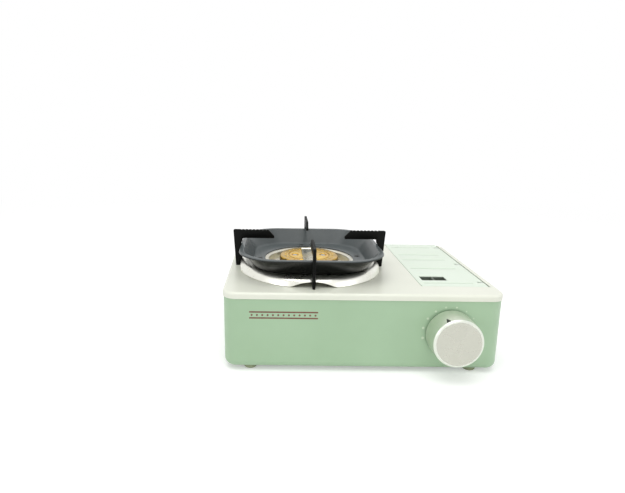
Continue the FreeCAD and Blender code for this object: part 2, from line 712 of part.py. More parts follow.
def mixing_tube():
    """Steel tube that mixes gas and air, belled where the air comes in."""
    start_x = BURNER_X + THROAT_R - BOWL_WALL + 0.8
    corners = [(TUBE_R - TUBE_WALL, start_x), (TUBE_R, start_x), (TUBE_R, TUBE_END_X - TUBE_BELL_L, 6.0),
               (TUBE_BELL_R, TUBE_END_X), (TUBE_BELL_R - TUBE_WALL, TUBE_END_X),
               (TUBE_R - TUBE_WALL, TUBE_END_X - TUBE_BELL_L, 6.0)]
    return turned(corners, vec(0, BURNER_Y, TUBE_Z), X_DIR, Z_DIR)


def burner_head():
    """Plate on the bowl with the raised lane between the two flame caps."""
    disc = rod(HEAD_R, BURNER_AXIS + Z_DIR * HEAD_Z, BURNER_AXIS + Z_DIR * CAP_Z)
    lane = block(BURNER_X - LANE_W / 2, BURNER_X + LANE_W / 2, BURNER_Y - HEAD_R, BURNER_Y + HEAD_R,
                 CAP_Z, CAP_Z + LANE_H)
    lane = lane.common(rod(HEAD_R, BURNER_AXIS + Z_DIR * HEAD_Z, BURNER_AXIS + Z_DIR * (CAP_Z + CAP_H)))
    head = disc.fuse(lane).removeSplitter()
    head = head.makeFillet(0.6, [e for e in level_edges(head, CAP_Z + LANE_H) if e.Length > HEAD_R])
    for side in (-1, 1):
        for spread in (-1, 1):
            x = BURNER_X + side * GAS_HOLE_X
            y = BURNER_Y + spread * GAS_HOLE_Y
            head = head.cut(rod(GAS_HOLE_R, vec(x, y, HEAD_Z - 1), vec(x, y, CAP_Z + 1)))
    return head


def flame_cap(side):
    """Brass half-round cap on the left (-1) or right (1), with ports, a groove and a sunk screw hole."""
    corners = [(0, CAP_Z), (CAP_R, CAP_Z), (CAP_R, CAP_Z + CAP_H, CAP_CHAMFER), (0, CAP_Z + CAP_H)]
    cap = turned(corners, BURNER_AXIS, Z_DIR, X_DIR)
    inner_x = LANE_W / 2 + RUN_FIT
    near, far = sorted((BURNER_X + side * inner_x, BURNER_X + side * CAP_R))
    cap = cap.common(block(near, far, BURNER_Y - CAP_R, BURNER_Y + CAP_R, CAP_Z, CAP_Z + CAP_H))
    middle = 0.0 if side > 0 else 180.0
    tools = []
    for k in range(CAP_PORTS):
        angle = middle + (k - (CAP_PORTS - 1) / 2) * PORT_STEP
        port = block(CAP_R - PORT_DEPTH, CAP_R + 2, -PORT_W / 2, PORT_W / 2, CAP_Z, CAP_Z + PORT_H)
        port.rotate(vec(0, 0, 0), Z_DIR, angle)
        port.translate(BURNER_AXIS)
        tools.append(port)
    for k in range(CAP_PORTS - 1):
        angle = middle + (k - (CAP_PORTS - 2) / 2) * PORT_STEP
        place = BURNER_AXIS + polar(CAP_HOLE_RING_R, angle)
        tools.append(rod(CAP_HOLE_R, place + Z_DIR * CAP_Z, place + Z_DIR * (CAP_Z + CAP_H + 1)))
    screw = BURNER_AXIS + polar(CAP_SCREW_OUT, middle)
    top = CAP_Z + CAP_H
    tools.append(rod(SCREW_R, screw + Z_DIR * CAP_Z, screw + Z_DIR * top))
    tools.append(rod(CAP_SINK_R, screw + Z_DIR * (top - SCREW_DOME_H), screw + Z_DIR * (top + 1)))
    tools.append(pipe(CAP_GROOVE_R + CAP_GROOVE_W / 2, CAP_GROOVE_R - CAP_GROOVE_W / 2,
                      BURNER_AXIS + Z_DIR * (top - CAP_GROOVE_D), BURNER_AXIS + Z_DIR * (top + 1)))
    return cap.cut(tools)


def cap_screws():
    top = CAP_Z + CAP_H - SCREW_DOME_H
    corners = [(0, CAP_Z), (SCREW_R, CAP_Z), (SCREW_R, top), (SCREW_HEAD_R, top),
               (SCREW_HEAD_R - 0.8, top + SCREW_DOME_H), (0, top + SCREW_DOME_H)]
    screws = []
    for angle in (0.0, 180.0):
        screws.append(turned(corners, BURNER_AXIS + polar(CAP_SCREW_OUT, angle), Z_DIR, X_DIR))
    return Part.makeCompound(screws)


def electrode_place():
    return BURNER_AXIS + polar(HEAD_R + ELECTRODE_OUT, ELECTRODE_ANGLE)


def electrode_ceramic():
    """White ceramic sleeve that stands beside the burner."""
    top = HEAD_Z + ELECTRODE_RISE
    place = electrode_place()
    sleeve = turned([(WIRE_R, top - ELECTRODE_L), (ELECTRODE_R, top - ELECTRODE_L), (ELECTRODE_R, top, 0.8),
                     (WIRE_R, top)], vec(place.x, place.y, 0), Z_DIR, X_DIR)
    return sleeve


def electrode_wire():
    """Steel spark wire through the sleeve, bent in towards the flame."""
    place = electrode_place()
    top = CAP_Z + WIRE_RISE
    bottom = HEAD_Z + ELECTRODE_RISE - ELECTRODE_L
    inward = (BURNER_AXIS - place).normalize()
    reach = (place - BURNER_AXIS).Length - HEAD_R - ELECTRODE_GAP / 2
    points = [place + Z_DIR * bottom, place + Z_DIR * top, place + Z_DIR * top + inward * reach]
    return swept(bent_path(points, [1.4]), WIRE_R, points[0], Z_DIR)


def electrode_bracket():
    """Strip on the bowl's side that holds the sleeve."""
    z0 = HEAD_Z - ELECTRODE_SEAT_DROP
    half = ELECTRODE_SEAT_W / 2
    place = electrode_place()
    reach = (place - BURNER_AXIS).Length
    inner = BOWL_R + PARTING_GAP
    strip = block(inner, reach + ELECTRODE_R + BRACKET_T, -half, half, z0, z0 + BRACKET_T)
    tab = block(inner, inner + BRACKET_T, -half, half, z0, z0 + ELECTRODE_SEAT_H)
    strip = strip.fuse(tab).removeSplitter()
    strip = strip.cut(rod(ELECTRODE_R, vec(reach, 0, 0), vec(reach, 0, PLATE_TOP_Z)))
    strip.rotate(vec(0, 0, 0), Z_DIR, ELECTRODE_ANGLE)
    strip.translate(BURNER_AXIS)
    return strip


def drip_pan():
    """Polished pan: a well round the burner, a deck, a round shoulder and a skirt open at each support."""
    foot_z = PLATE_TOP_Z + PAN_FOOT_GAP
    shoulder = PAN_R - PAN_LEAN
    outer = PAN_COLLAR_R + PAN_T
    lip_z = WELL_Z + PAN_LIP_H
    corners = [(PAN_R, foot_z), (shoulder, TRAY_BASE_Z, PAN_EDGE_R), (PAN_COLLAR_R, TRAY_BASE_Z, 2.0),
               (PAN_COLLAR_R, WELL_Z, 2.0), (PAN_HOLE_R + PAN_T, WELL_Z), (PAN_HOLE_R + PAN_T, lip_z),
               (PAN_HOLE_R, lip_z), (PAN_HOLE_R, WELL_Z - PAN_T), (outer, WELL_Z - PAN_T, 2.0 + PAN_T),
               (outer, DECK_UNDER_Z, 2.0 - PAN_T), (shoulder - PAN_T, DECK_UNDER_Z, PAN_EDGE_R - PAN_T),
               (PAN_R - PAN_T, foot_z)]
    pan = turned(corners, BURNER_AXIS, Z_DIR, X_DIR)
    keyhole_r = ELECTRODE_R + PAN_ELECTRODE_GAP
    place = electrode_place()
    keyhole = rod(keyhole_r, place + Z_DIR * (WELL_Z - 1), place + Z_DIR * (lip_z + 1))
    neck = block(HEAD_R, HEAD_R + ELECTRODE_OUT, -keyhole_r, keyhole_r, WELL_Z - 1, lip_z + 1)
    neck.rotate(vec(0, 0, 0), Z_DIR, ELECTRODE_ANGLE)
    neck.translate(BURNER_AXIS)
    arch_r = ((ARCH_W / 2) ** 2 + ARCH_H ** 2) / (2 * ARCH_H)
    arch_z = PLATE_TOP_Z + ARCH_H - arch_r
    slot_half = SUPPORT_T / 2 + SUPPORT_GAP
    tools = [keyhole, neck]
    for angle in (0, 90, 180, 270):
        arch = rod(arch_r, BURNER_AXIS + vec(TRAY_BASE_HALF, 0, arch_z),
                   BURNER_AXIS + vec(PAN_R + 5, 0, arch_z))
        slot = block(BURNER_X + SUPPORT_IN_R - SUPPORT_GAP, BURNER_X + PAN_R + 5, BURNER_Y - slot_half,
                     BURNER_Y + slot_half, PLATE_TOP_Z, TRAY_BASE_Z + 1)
        rivet = rivet_place() - Z_DIR
        hole = rod(RIVET_R, rivet + Z_DIR * DECK_UNDER_Z, rivet + Z_DIR * (TRAY_BASE_Z + 2))
        tools += [around_burner(tool, angle) for tool in (arch, slot, hole)]
    return pan.cut(tools)


def rivet_place():
    """Centre of the right-hand support's rivet, at Z = 0."""
    return BURNER_AXIS + vec(TAB_R, SUPPORT_T / 2 + TAB_W / 2, 0)


def support_tray():
    """Black square tray with flared walls, a flat rolled rim and a round opening."""
    lip_under = TRAY_RIM_Z - TRAY_T
    wall_half = TRAY_RIM_HALF - TRAY_LIP_W
    wall_corner = TRAY_RIM_CORNER - TRAY_LIP_W

    def shell(inset, z0):
        share = (z0 - TRAY_BASE_Z) / (TRAY_RIM_Z - TRAY_BASE_Z)
        low_half = TRAY_BASE_HALF + (wall_half - TRAY_BASE_HALF) * share - inset
        low_corner = TRAY_BASE_CORNER + (wall_corner - TRAY_BASE_CORNER) * share - inset
        low = rounded_rect(low_half, low_half, low_corner, z0, BURNER_X, BURNER_Y)
        high = rounded_rect(wall_half - inset, wall_half - inset, wall_corner - inset, TRAY_RIM_Z,
                            BURNER_X, BURNER_Y)
        solid = Part.makeLoft([low, high], True, True)
        return solid.makeFillet(TRAY_EDGE_R - inset, level_edges(solid, z0))

    lip = prism(rounded_rect(TRAY_RIM_HALF, TRAY_RIM_HALF, TRAY_RIM_CORNER, lip_under, BURNER_X, BURNER_Y),
                Z_DIR * TRAY_T)
    tray = shell(0.0, TRAY_BASE_Z).fuse(lip)
    tray = tray.cut(shell(TRAY_T, TRAY_BASE_Z + TRAY_T))
    under, over = BURNER_AXIS + Z_DIR * (TRAY_BASE_Z - 1), BURNER_AXIS + Z_DIR * (TRAY_BASE_Z + 9)
    tools = [rod(TRAY_HOLE_R, under, over)]
    for angle in (0, 90, 180, 270):
        rivet = rivet_place()
        tools.append(around_burner(rod(RIVET_R, rivet + Z_DIR * (TRAY_BASE_Z - 1),
                                       rivet + Z_DIR * (TRAY_BASE_Z + 3)), angle))
    return tray.cut(tools)


def pan_support(angle):
    """C-shaped plate: a toothed arm over the tray, a post outside it and a foot on the plate."""
    top = SUPPORT_TOP_Z
    arm_under = top - ARM_H
    foot_z = PLATE_TOP_Z
    foot_top = foot_z + SUPPORT_LEG_H
    rim = TRAY_RIM_HALF + SUPPORT_GAP
    rim_low = TRAY_RIM_Z - TRAY_T - 0.2
    rim_high = TRAY_RIM_Z + 0.2
    inner_r, outer_r = TAB_R - TAB_L / 2, TAB_R + TAB_L / 2
    first_tooth = SUPPORT_IN_R + 2.0
    last_tooth = first_tooth - (TOOTH_COUNT - 1) * TOOTH_PITCH - TOOTH_W
    corners = [(SUPPORT_FOOT_R, foot_z), (SUPPORT_TOP_R, top, 1.5)]
    for k in range(TOOTH_COUNT):
        r = first_tooth - k * TOOTH_PITCH
        corners += [(r, top), (r - TOOTH_W / 2, top - TOOTH_H), (r - TOOTH_W, top)]
    corners += [(last_tooth - 1.5, top, 1.0), (SUPPORT_TIP_R, top - TIP_DROP, 1.0),
                (SUPPORT_TIP_R, arm_under, 1.0), (SUPPORT_IN_R, arm_under, 2.0), (SUPPORT_IN_R, rim_high),
                (rim, rim_high), (rim, rim_low), (SUPPORT_IN_R, rim_low), (SUPPORT_IN_R, foot_top, 1.0),
                (outer_r, foot_top, 1.0), (outer_r, DECK_UNDER_Z), (inner_r, DECK_UNDER_Z), (inner_r, foot_z)]
    wire = outline(corners, lambda r, z: vec(BURNER_X + r, BURNER_Y - SUPPORT_T / 2, z))
    plate = prism(wire, Y_DIR * SUPPORT_T)
    tab = block(BURNER_X + inner_r, BURNER_X + outer_r, BURNER_Y, BURNER_Y + SUPPORT_T / 2 + TAB_W,
                DECK_UNDER_Z - TAB_T, DECK_UNDER_Z)
    rivet = rivet_place()
    tab = tab.cut(rod(RIVET_R, rivet, rivet + Z_DIR * (DECK_UNDER_Z + 1)))
    return around_burner(plate.fuse(tab).removeSplitter(), angle)


def trivet_rivets():
    low = DECK_UNDER_Z - TAB_T
    high = TRAY_BASE_Z + TRAY_T
    corners = [(0, low - RIVET_HEAD_H), (RIVET_HEAD_R, low - RIVET_HEAD_H), (RIVET_HEAD_R, low),
               (RIVET_R, low), (RIVET_R, high), (RIVET_HEAD_R, high), (RIVET_HEAD_R, high + RIVET_HEAD_H),
               (0, high + RIVET_HEAD_H)]
    rivet = turned(corners, rivet_place(), Z_DIR, X_DIR)
    return Part.makeCompound([around_burner(rivet, angle) for angle in (0, 90, 180, 270)])


def cartridge_lid():
    """Pressed lid with grooves, a rear skirt and a curled edge that turns on the hinge pin."""
    top = PLATE_TOP_Z
    under = top - LID_T
    back = BACK
    right = HINGE_X + CURL_FLAT
    sheet = prism(outline([(LID_LEFT, LID_FRONT, LID_CORNER_R), (right, LID_FRONT), (right, back),
                           (LID_LEFT, back)], flat(under)), Z_DIR * LID_T)
    skirt = block(LID_LEFT, HINGE_X, back - LID_T, back, top - LID_SKIRT, top)
    curl = rod(HINGE_R, vec(HINGE_X, LID_FRONT, HINGE_Z), vec(HINGE_X, back, HINGE_Z))
    lid = sheet.fuse(skirt).fuse(curl)
    front_end, back_end = vec(HINGE_X, LID_FRONT - 1, HINGE_Z), vec(HINGE_X, back + 1, HINGE_Z)
    tools = [rod(HINGE_PIN_R + HINGE_FIT, front_end, back_end)]
    notch_x = HINGE_X - HINGE_R - EAR_GAP
    for y in EAR_YS:
        reach = EAR_T / 2 + EAR_GAP
        tools.append(block(notch_x, LID_RIGHT + 1, y - reach, y + reach, HINGE_Z - 9, top + 1))
    beads = []
    for y in GROOVE_YS:
        beads.append(block(GROOVE_X0, GROOVE_X1, y - BEAD_W / 2, y + BEAD_W / 2, under - GROOVE_D, under))
        tools.append(block(GROOVE_X0, GROOVE_X1, y - GROOVE_W / 2, y + GROOVE_W / 2, top - GROOVE_D, top + 1))
    tools.append(block(GRIP_X0, GRIP_X1, GRIP_Y0, GRIP_Y1, under - 1, top + 1))
    return lid.fuse(beads).cut(tools)


def lid_grip():
    """Finger cup under the lid's window, with a bar across it."""
    under = PLATE_TOP_Z - LID_T
    w = GRIP_WALL
    cup = block(GRIP_X0 - w, GRIP_X1 + w, GRIP_Y0 - w, GRIP_Y1 + w, under - GRIP_DEPTH, under)
    cup = cup.cut(block(GRIP_X0, GRIP_X1, GRIP_Y0, GRIP_Y1, under - GRIP_DEPTH + w, under))
    middle = (GRIP_X0 + GRIP_X1) / 2
    bar = block(middle - GRIP_BAR_W / 2, middle + GRIP_BAR_W / 2, GRIP_Y0, GRIP_Y1, under - GRIP_BAR_W,
                under + LID_T * 0.6)
    return cup.fuse(bar).removeSplitter()


def hinge_ears():
    """Three small tabs under the plate's right-hand strip that carry the hinge pin."""
    ears = []
    right = RIGHT - PLATE_T - LIP_GAP - BODY_WALL - PARTING_GAP
    for y in EAR_YS:
        y0, y1 = y - EAR_T / 2, y + EAR_T / 2
        web = block(HINGE_X, right, y0, y1, HINGE_Z - HINGE_R, PLATE_UNDER_Z)
        web = web.fuse(rod(HINGE_R - 0.1, vec(HINGE_X, y0, HINGE_Z), vec(HINGE_X, y1, HINGE_Z)))
        web = web.cut(rod(HINGE_PIN_R, vec(HINGE_X, y0 - 1, HINGE_Z), vec(HINGE_X, y1 + 1, HINGE_Z)))
        ears.append(web)
    return Part.makeCompound(ears)


def hinge_pin():
    y0 = EAR_YS[0] - EAR_T / 2 - PIN_END_L
    y1 = EAR_YS[-1] + EAR_T / 2 + PIN_END_L
    return rod(HINGE_PIN_R, vec(HINGE_X, y0, HINGE_Z), vec(HINGE_X, y1, HINGE_Z))


def regulator_body():
    """Cast block with the spindle's bore in front and the gas inlet behind."""
    body = block(REG_X0, REG_X1, REG_Y0, REG_Y1, REG_Z0, REG_Z1)
    body = body.makeFillet(REG_EDGE_R, [e for e in body.Edges if abs(e.tangentAt(e.FirstParameter).y) > 0.9])
    face = KNOB_AXIS + Y_DIR * REG_Y0
    body = body.fuse(rod(REG_BOSS_R, face - Y_DIR * REG_BOSS_L, face))
    body = body.cut(rod(SPINDLE_R + RUN_FIT, face - Y_DIR * (REG_BOSS_L + 1), face + Y_DIR * SPINDLE_GRIP))
    inlet = CAN_AXIS + Y_DIR * REG_Y1
    body = body.cut(rod(NIPPLE_BORE_R, inlet - Y_DIR * 4.0, inlet + Y_DIR))
    middle = vec(REG_X1, (REG_Y0 + REG_Y1) / 2, CAN_Z)
    body = body.cut(rod(BONNET_DOME_R - BONNET_WALL, middle - X_DIR * 4.0, middle + X_DIR))
    outlet = vec(REG_X0, PIPE_Y, TUBE_Z)
    return body.cut(rod(PIPE_R, outlet - X_DIR, outlet + X_DIR * 5.0))


def regulator_bonnet():
    """Domed cover over the regulator's diaphragm."""
    x0 = REG_X1 + DIAPHRAGM_T
    x1 = x0 + BONNET_L
    inner = BONNET_DOME_R - BONNET_WALL
    corners = [(inner, x0), (BONNET_R, x0), (BONNET_R, x0 + BONNET_FLANGE),
               (BONNET_DOME_R, x0 + BONNET_FLANGE), (BONNET_DOME_R, x1, 2.0), (0, x1), (0, x1 - BONNET_WALL),
               (inner, x1 - BONNET_WALL)]
    return turned(corners, vec(0, (REG_Y0 + REG_Y1) / 2, CAN_Z), X_DIR, Z_DIR)


def regulator_diaphragm():
    middle = vec(REG_X1, (REG_Y0 + REG_Y1) / 2, CAN_Z)
    return rod(BONNET_R - 0.5, middle, middle + X_DIR * DIAPHRAGM_T)


def can_collar():
    """Cast collar that the cartridge's flange goes into, with a pocket for the ring magnet."""
    back = REG_Y1
    floor = back + COLLAR_BACK
    corners = [(MAGNET_BORE_R, back), (COLLAR_R, back), (COLLAR_R - 0.8, SOCKET_FACE_Y),
               (COLLAR_BORE_R, SOCKET_FACE_Y), (COLLAR_BORE_R, floor + MAGNET_T),
               (MAGNET_R, floor + MAGNET_T), (MAGNET_R, floor), (MAGNET_BORE_R, floor)]
    return turned(corners, CAN_AXIS, Y_DIR, X_DIR)


def socket_magnet():
    floor = REG_Y1 + COLLAR_BACK
    return pipe(MAGNET_R, MAGNET_BORE_R, CAN_AXIS + Y_DIR * floor, CAN_AXIS + Y_DIR * (floor + MAGNET_T))


def socket_nipple():
    """Brass seat that the cartridge's stem presses on."""
    y0 = REG_Y1
    y1 = REG_Y1 + COLLAR_BACK + MAGNET_T - 0.4
    nipple = pipe(NIPPLE_R, NIPPLE_BORE_R, CAN_AXIS + Y_DIR * y0, CAN_AXIS + Y_DIR * y1)
    return nipple.cut(rod(SEAL_R, CAN_AXIS + Y_DIR * (y1 - SEAL_T), CAN_AXIS + Y_DIR * y1))


def socket_seal():
    y1 = REG_Y1 + COLLAR_BACK + MAGNET_T - 0.4
    return pipe(SEAL_R, NIPPLE_BORE_R, CAN_AXIS + Y_DIR * (y1 - SEAL_T), CAN_AXIS + Y_DIR * y1)


def gas_pipe():
    """Bent pipe from the regulator to the back of the nozzle."""
    points = [vec(REG_X0 + 4.0, PIPE_Y, TUBE_Z), vec(PIPE_X, PIPE_Y, TUBE_Z), vec(PIPE_X, BURNER_Y, TUBE_Z),
              vec(PIPE_X - PIPE_BEND_R - 1.5, BURNER_Y, TUBE_Z)]
    path = bent_path(points, [PIPE_BEND_R, PIPE_BEND_R])
    return swept(path, PIPE_R, points[0], X_DIR)


def hexagon_nut(radius, bore_r, start, end):
    """Hexagonal nut along X between two points of its axis."""
    corners = []
    for k in range(6):
        turn = math.radians(60 * k)
        corners.append((radius * math.cos(turn), radius * math.sin(turn)))
    wire = outline(corners, lambda a, b: vec(start.x, start.y + a, start.z + b))
    return prism(wire, end - start).cut(rod(bore_r, start, end))


def pipe_nut():
    outlet = vec(REG_X0, PIPE_Y, TUBE_Z)
    return hexagon_nut(NUT_R, PIPE_R, outlet - X_DIR * NUT_L, outlet)


def gas_nozzle():
    """Brass jet that is fixed in its bracket and points into the mixing tube."""
    axis = vec(0, BURNER_Y, TUBE_Z)
    rear = PIPE_X - PIPE_BEND_R
    tip = TUBE_END_X - NOZZLE_TIP_IN
    barrel_r = NOZZLE_R + NOZZLE_SHOULDER
    plate_in = NOZZLE_BRACKET_X
    plate_out = NOZZLE_BRACKET_X + BRACKET_T
    corners = [(JET_R, tip), (NOZZLE_TIP_R, tip), (NOZZLE_TIP_R, plate_in - 2.0),
               (NOZZLE_R, plate_in - 2.0), (NOZZLE_R, plate_in), (NOZZLE_NECK_R, plate_in),
               (NOZZLE_NECK_R, plate_out), (barrel_r, plate_out), (barrel_r, rear),
               (PIPE_R, rear), (PIPE_R, rear - 1.5), (JET_R, rear - 1.5)]
    return turned(corners, axis, X_DIR, Z_DIR)


def nozzle_bracket():
    """Folded strip, screwed to the floor, that holds the nozzle in line with the mixing tube."""
    x0 = NOZZLE_BRACKET_X
    y0, y1 = BURNER_Y - NOZZLE_BRACKET_W / 2, BURNER_Y + NOZZLE_BRACKET_W / 2
    strip = block(x0, x0 + BRACKET_T, y0, y1, FLOOR_Z, TUBE_Z + NOZZLE_BRACKET_RISE)
    flange = block(x0 - FLANGE_W, x0, y0, y1, FLOOR_Z, FLOOR_Z + BRACKET_T)
    tools = [rod(NOZZLE_NECK_R, vec(x0 - 1, BURNER_Y, TUBE_Z), vec(x0 + 3, BURNER_Y, TUBE_Z))]
    for side in (-1, 1):
        place = vec(x0 - FLANGE_W / 2, BURNER_Y + side * NOZZLE_SCREW_Y, 0)
        tools.append(rod(SCREW_R, place, place + Z_DIR * (FLOOR_Z + 2 * BRACKET_T)))
    return strip.fuse(flange).removeSplitter().cut(tools)


def piezo_unit():
    """Moulded piezo igniter with a bore for its plunger."""
    unit = block(PIEZO_X0, PIEZO_X1, CAM_Y - PIEZO_W / 2, CAM_Y + PIEZO_W / 2, KNOB_Z - PIEZO_H / 2,
                 KNOB_Z + PIEZO_H / 2)
    unit = unit.makeFillet(1.2, [e for e in unit.Edges if abs(e.tangentAt(e.FirstParameter).x) > 0.9])
    neck = rod(PLUNGER_R + 1.6, vec(PIEZO_X1, CAM_Y, KNOB_Z), vec(PIEZO_X1 + 2.5, CAM_Y, KNOB_Z))
    bore = rod(PLUNGER_R + RUN_FIT, vec(PIEZO_X1 - PLUNGER_DEPTH - CAM_RISE - 1.0, CAM_Y, KNOB_Z),
               vec(PIEZO_X1 + 9, CAM_Y, KNOB_Z))
    return unit.fuse(neck).cut(bore)


def piezo_plunger():
    """Sprung pin that the cam on the spindle pushes in."""
    tip = KNOB_X - CAM_R - CAM_GAP
    corners = [(0, PIEZO_X1 - PLUNGER_DEPTH), (PLUNGER_R, PIEZO_X1 - PLUNGER_DEPTH), (PLUNGER_R, tip, 1.4),
               (0, tip)]
    return turned(corners, vec(0, CAM_Y, KNOB_Z), X_DIR, Z_DIR)


def cam_point(angle, radius):
    """Point on the cam's front face, at an angle about the spindle."""
    turn = math.radians(angle)
    return vec(KNOB_X + radius * math.cos(turn), CAM_Y - CAM_T / 2, KNOB_Z + radius * math.sin(turn))


def igniter_cam():
    """Spiral cam on the spindle; its radius grows evenly through the knob's turn."""
    steps = 12
    spiral = []
    for k in range(steps + 1):
        share = k / steps
        spiral.append(cam_point(180.0 - CAM_SWEEP * share, CAM_R + CAM_RISE * share))
    rise = Part.BSplineCurve()
    rise.interpolate(spiral)
    step = cam_point(180.0 - CAM_SWEEP, CAM_R)
    below = cam_point(-90.0, CAM_R)
    edges = [rise.toShape(), Part.makeLine(spiral[-1], step), Part.Arc(step, below, spiral[0]).toShape()]
    cam = prism(Part.Wire(edges), Y_DIR * CAM_T)
    return cam.cut(rod(SPINDLE_R, KNOB_AXIS + Y_DIR * (CAM_Y - 9), KNOB_AXIS + Y_DIR * (CAM_Y + 9)))


def valve_spindle():
    """Steel spindle with a flat for the knob."""
    front = KNOB_FACE_Y + KNOB_CAP_T + KNOB_WALL + 2.0
    end = REG_Y0 + SPINDLE_GRIP - 1.0
    spindle = rod(SPINDLE_R, KNOB_AXIS + Y_DIR * front, KNOB_AXIS + Y_DIR * end)
    flat_end = FRONT - KNOB_GAP
    return spindle.cut(block(KNOB_X - 9, KNOB_X + 9, front - 1, flat_end, KNOB_Z + SPINDLE_FLAT, KNOB_Z + 9))


def pointer_tool(depth, proud):
    """Triangular inlay on the knob's side; its point is towards the panel."""
    base = KNOB_FACE_Y + KNOB_EDGE + 0.6
    wire = outline([(-POINTER_W / 2, base), (POINTER_W / 2, base), (0, base + POINTER_L)],
                   lambda a, y: vec(KNOB_X + KNOB_R - depth, y, KNOB_Z + a))
    shape = prism(wire, X_DIR * (depth + proud))
    shape.rotate(KNOB_AXIS, Y_DIR, -POINTER_ANGLE)
    return shape


def knob_shell():
    """Turned knob: a hollow cup with a hub that grips the spindle's flat."""
    back = FRONT - KNOB_GAP
    face = KNOB_FACE_Y
    seat = face + KNOB_CAP_T
    wall_in = seat + KNOB_WALL
    rim_r = KNOB_R - KNOB_WALL
    front_r = KNOB_R - KNOB_TAPER
    corners = [(KNOB_R, back), (front_r, face + KNOB_EDGE), (front_r - KNOB_EDGE, face),
               (KNOB_CAP_R, face), (KNOB_CAP_R, seat), (0, seat), (0, wall_in), (rim_r, wall_in, 1.5),
               (rim_r, back)]
    cup = turned(corners, KNOB_AXIS, Y_DIR, X_DIR)
    hub = rod(KNOB_HUB_R, KNOB_AXIS + Y_DIR * (wall_in - 0.5), KNOB_AXIS + Y_DIR * back)
    bore = rod(SPINDLE_R, KNOB_AXIS + Y_DIR * (wall_in + 2.0), KNOB_AXIS + Y_DIR * (back + 1))
    bore = bore.cut(block(KNOB_X - 9, KNOB_X + 9, face, back + 2, KNOB_Z + SPINDLE_FLAT, KNOB_Z + 9))
    return cup.fuse(hub).cut(bore).cut(pointer_tool(POINTER_DEPTH, 2.0))


def knob_cap():
    """Brushed disc set into the knob's face."""
    corners = [(0, KNOB_FACE_Y), (KNOB_CAP_R, KNOB_FACE_Y), (KNOB_CAP_R, KNOB_FACE_Y + KNOB_CAP_T),
               (0, KNOB_FACE_Y + KNOB_CAP_T)]
    return turned(corners, KNOB_AXIS, Y_DIR, X_DIR)


def knob_pointer():
    return pointer_tool(POINTER_DEPTH, 0.1)


def igniter_lead():
    """Insulated lead from the piezo unit along the floor to the electrode."""
    place = electrode_place()
    floor = FLOOR_Z + LEAD_R + 0.3
    bottom = HEAD_Z + ELECTRODE_RISE - ELECTRODE_L
    points = [vec(PIEZO_X0, CAM_Y, KNOB_Z), vec(PIEZO_X0 - LEAD_OUT, CAM_Y, KNOB_Z),
              vec(place.x + LEAD_TURN_X, place.y - LEAD_TURN_Y, floor), vec(place.x, place.y, floor),
              vec(place.x, place.y, bottom)]
    radii = []
    for k in range(1, len(points) - 1):
        back = points[k - 1] - points[k]
        ahead = points[k + 1] - points[k]
        half_turn = (math.pi - back.getAngle(ahead)) / 2
        radii.append(0.4 * min(back.Length, ahead.Length) / math.tan(half_turn))
    return swept(bent_path(points, radii), LEAD_R, points[0], X_DIR)


def write(name, shape):
    placed = shape.copy()
    placed.translate(ROW_SHIFT)
    placed.exportStep(os.path.join("parts", name + ".step"))


def copies(shape, places):
    group = []
    for x, y in places:
        piece = shape.copy()
        piece.translate(vec(x, y, 0))
        group.append(piece)
    return Part.makeCompound(group)


def main():
    os.makedirs("parts", exist_ok=True)
    write("body_shell", body_shell())
    write("top_plate", top_plate())
    for end, sy in (("front", -1), ("rear", 1)):
        for side, sx in (("left", -1), ("right", 1)):
            write("foot_" + end + "_" + side, copies(foot(), [(sx * FOOT_X, sy * FOOT_Y)]))
    write("plate_posts", copies(post(), POST_PLACES))
    write("post_screws", copies(post_screw(), POST_PLACES))
    write("floor_screws", copies(floor_screw(), bracket_screw_places()))
    for name, size in channel_sizes().items():
        write(name, channel(*size))
    write("heat_shield", heat_shield())
    write("bay_cradle", bay_cradle())
    write("cradle_saddles", cradle_saddles())
    write("burner_bowl", burner_bowl())
    write("mixing_tube", mixing_tube())
    write("burner_head", burner_head())
    write("flame_cap_left", flame_cap(-1))
    write("flame_cap_right", flame_cap(1))
    write("cap_screws", cap_screws())
    write("electrode_ceramic", electrode_ceramic())
    write("electrode_wire", electrode_wire())
    write("electrode_bracket", electrode_bracket())
    write("drip_pan", drip_pan())
    write("support_tray", support_tray())
    for name, angle in (("right", 0), ("back", 90), ("left", 180), ("front", 270)):
        write("pan_support_" + name, pan_support(angle))
    write("trivet_rivets", trivet_rivets())
    write("cartridge_lid", cartridge_lid())
    write("lid_grip", lid_grip())
    write("hinge_ears", hinge_ears())
    write("hinge_pin", hinge_pin())
    write("regulator_body", regulator_body())
    write("regulator_bonnet", regulator_bonnet())
    write("regulator_diaphragm", regulator_diaphragm())
    write("can_collar", can_collar())
    write("socket_magnet", socket_magnet())
    write("socket_nipple", socket_nipple())
    write("socket_seal", socket_seal())
    write("gas_pipe", gas_pipe())
    write("pipe_nut", pipe_nut())
    write("gas_nozzle", gas_nozzle())
    write("nozzle_bracket", nozzle_bracket())
    write("piezo_unit", piezo_unit())
    write("piezo_plunger", piezo_plunger())
    write("igniter_lead", igniter_lead())
    write("igniter_cam", igniter_cam())
    write("valve_spindle", valve_spindle())
    write("knob_shell", knob_shell())
    write("knob_cap", knob_cap())
    write("knob_pointer", knob_pointer())


main()
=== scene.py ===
import math

import bmesh
import bpy
from mathutils import Matrix, Vector


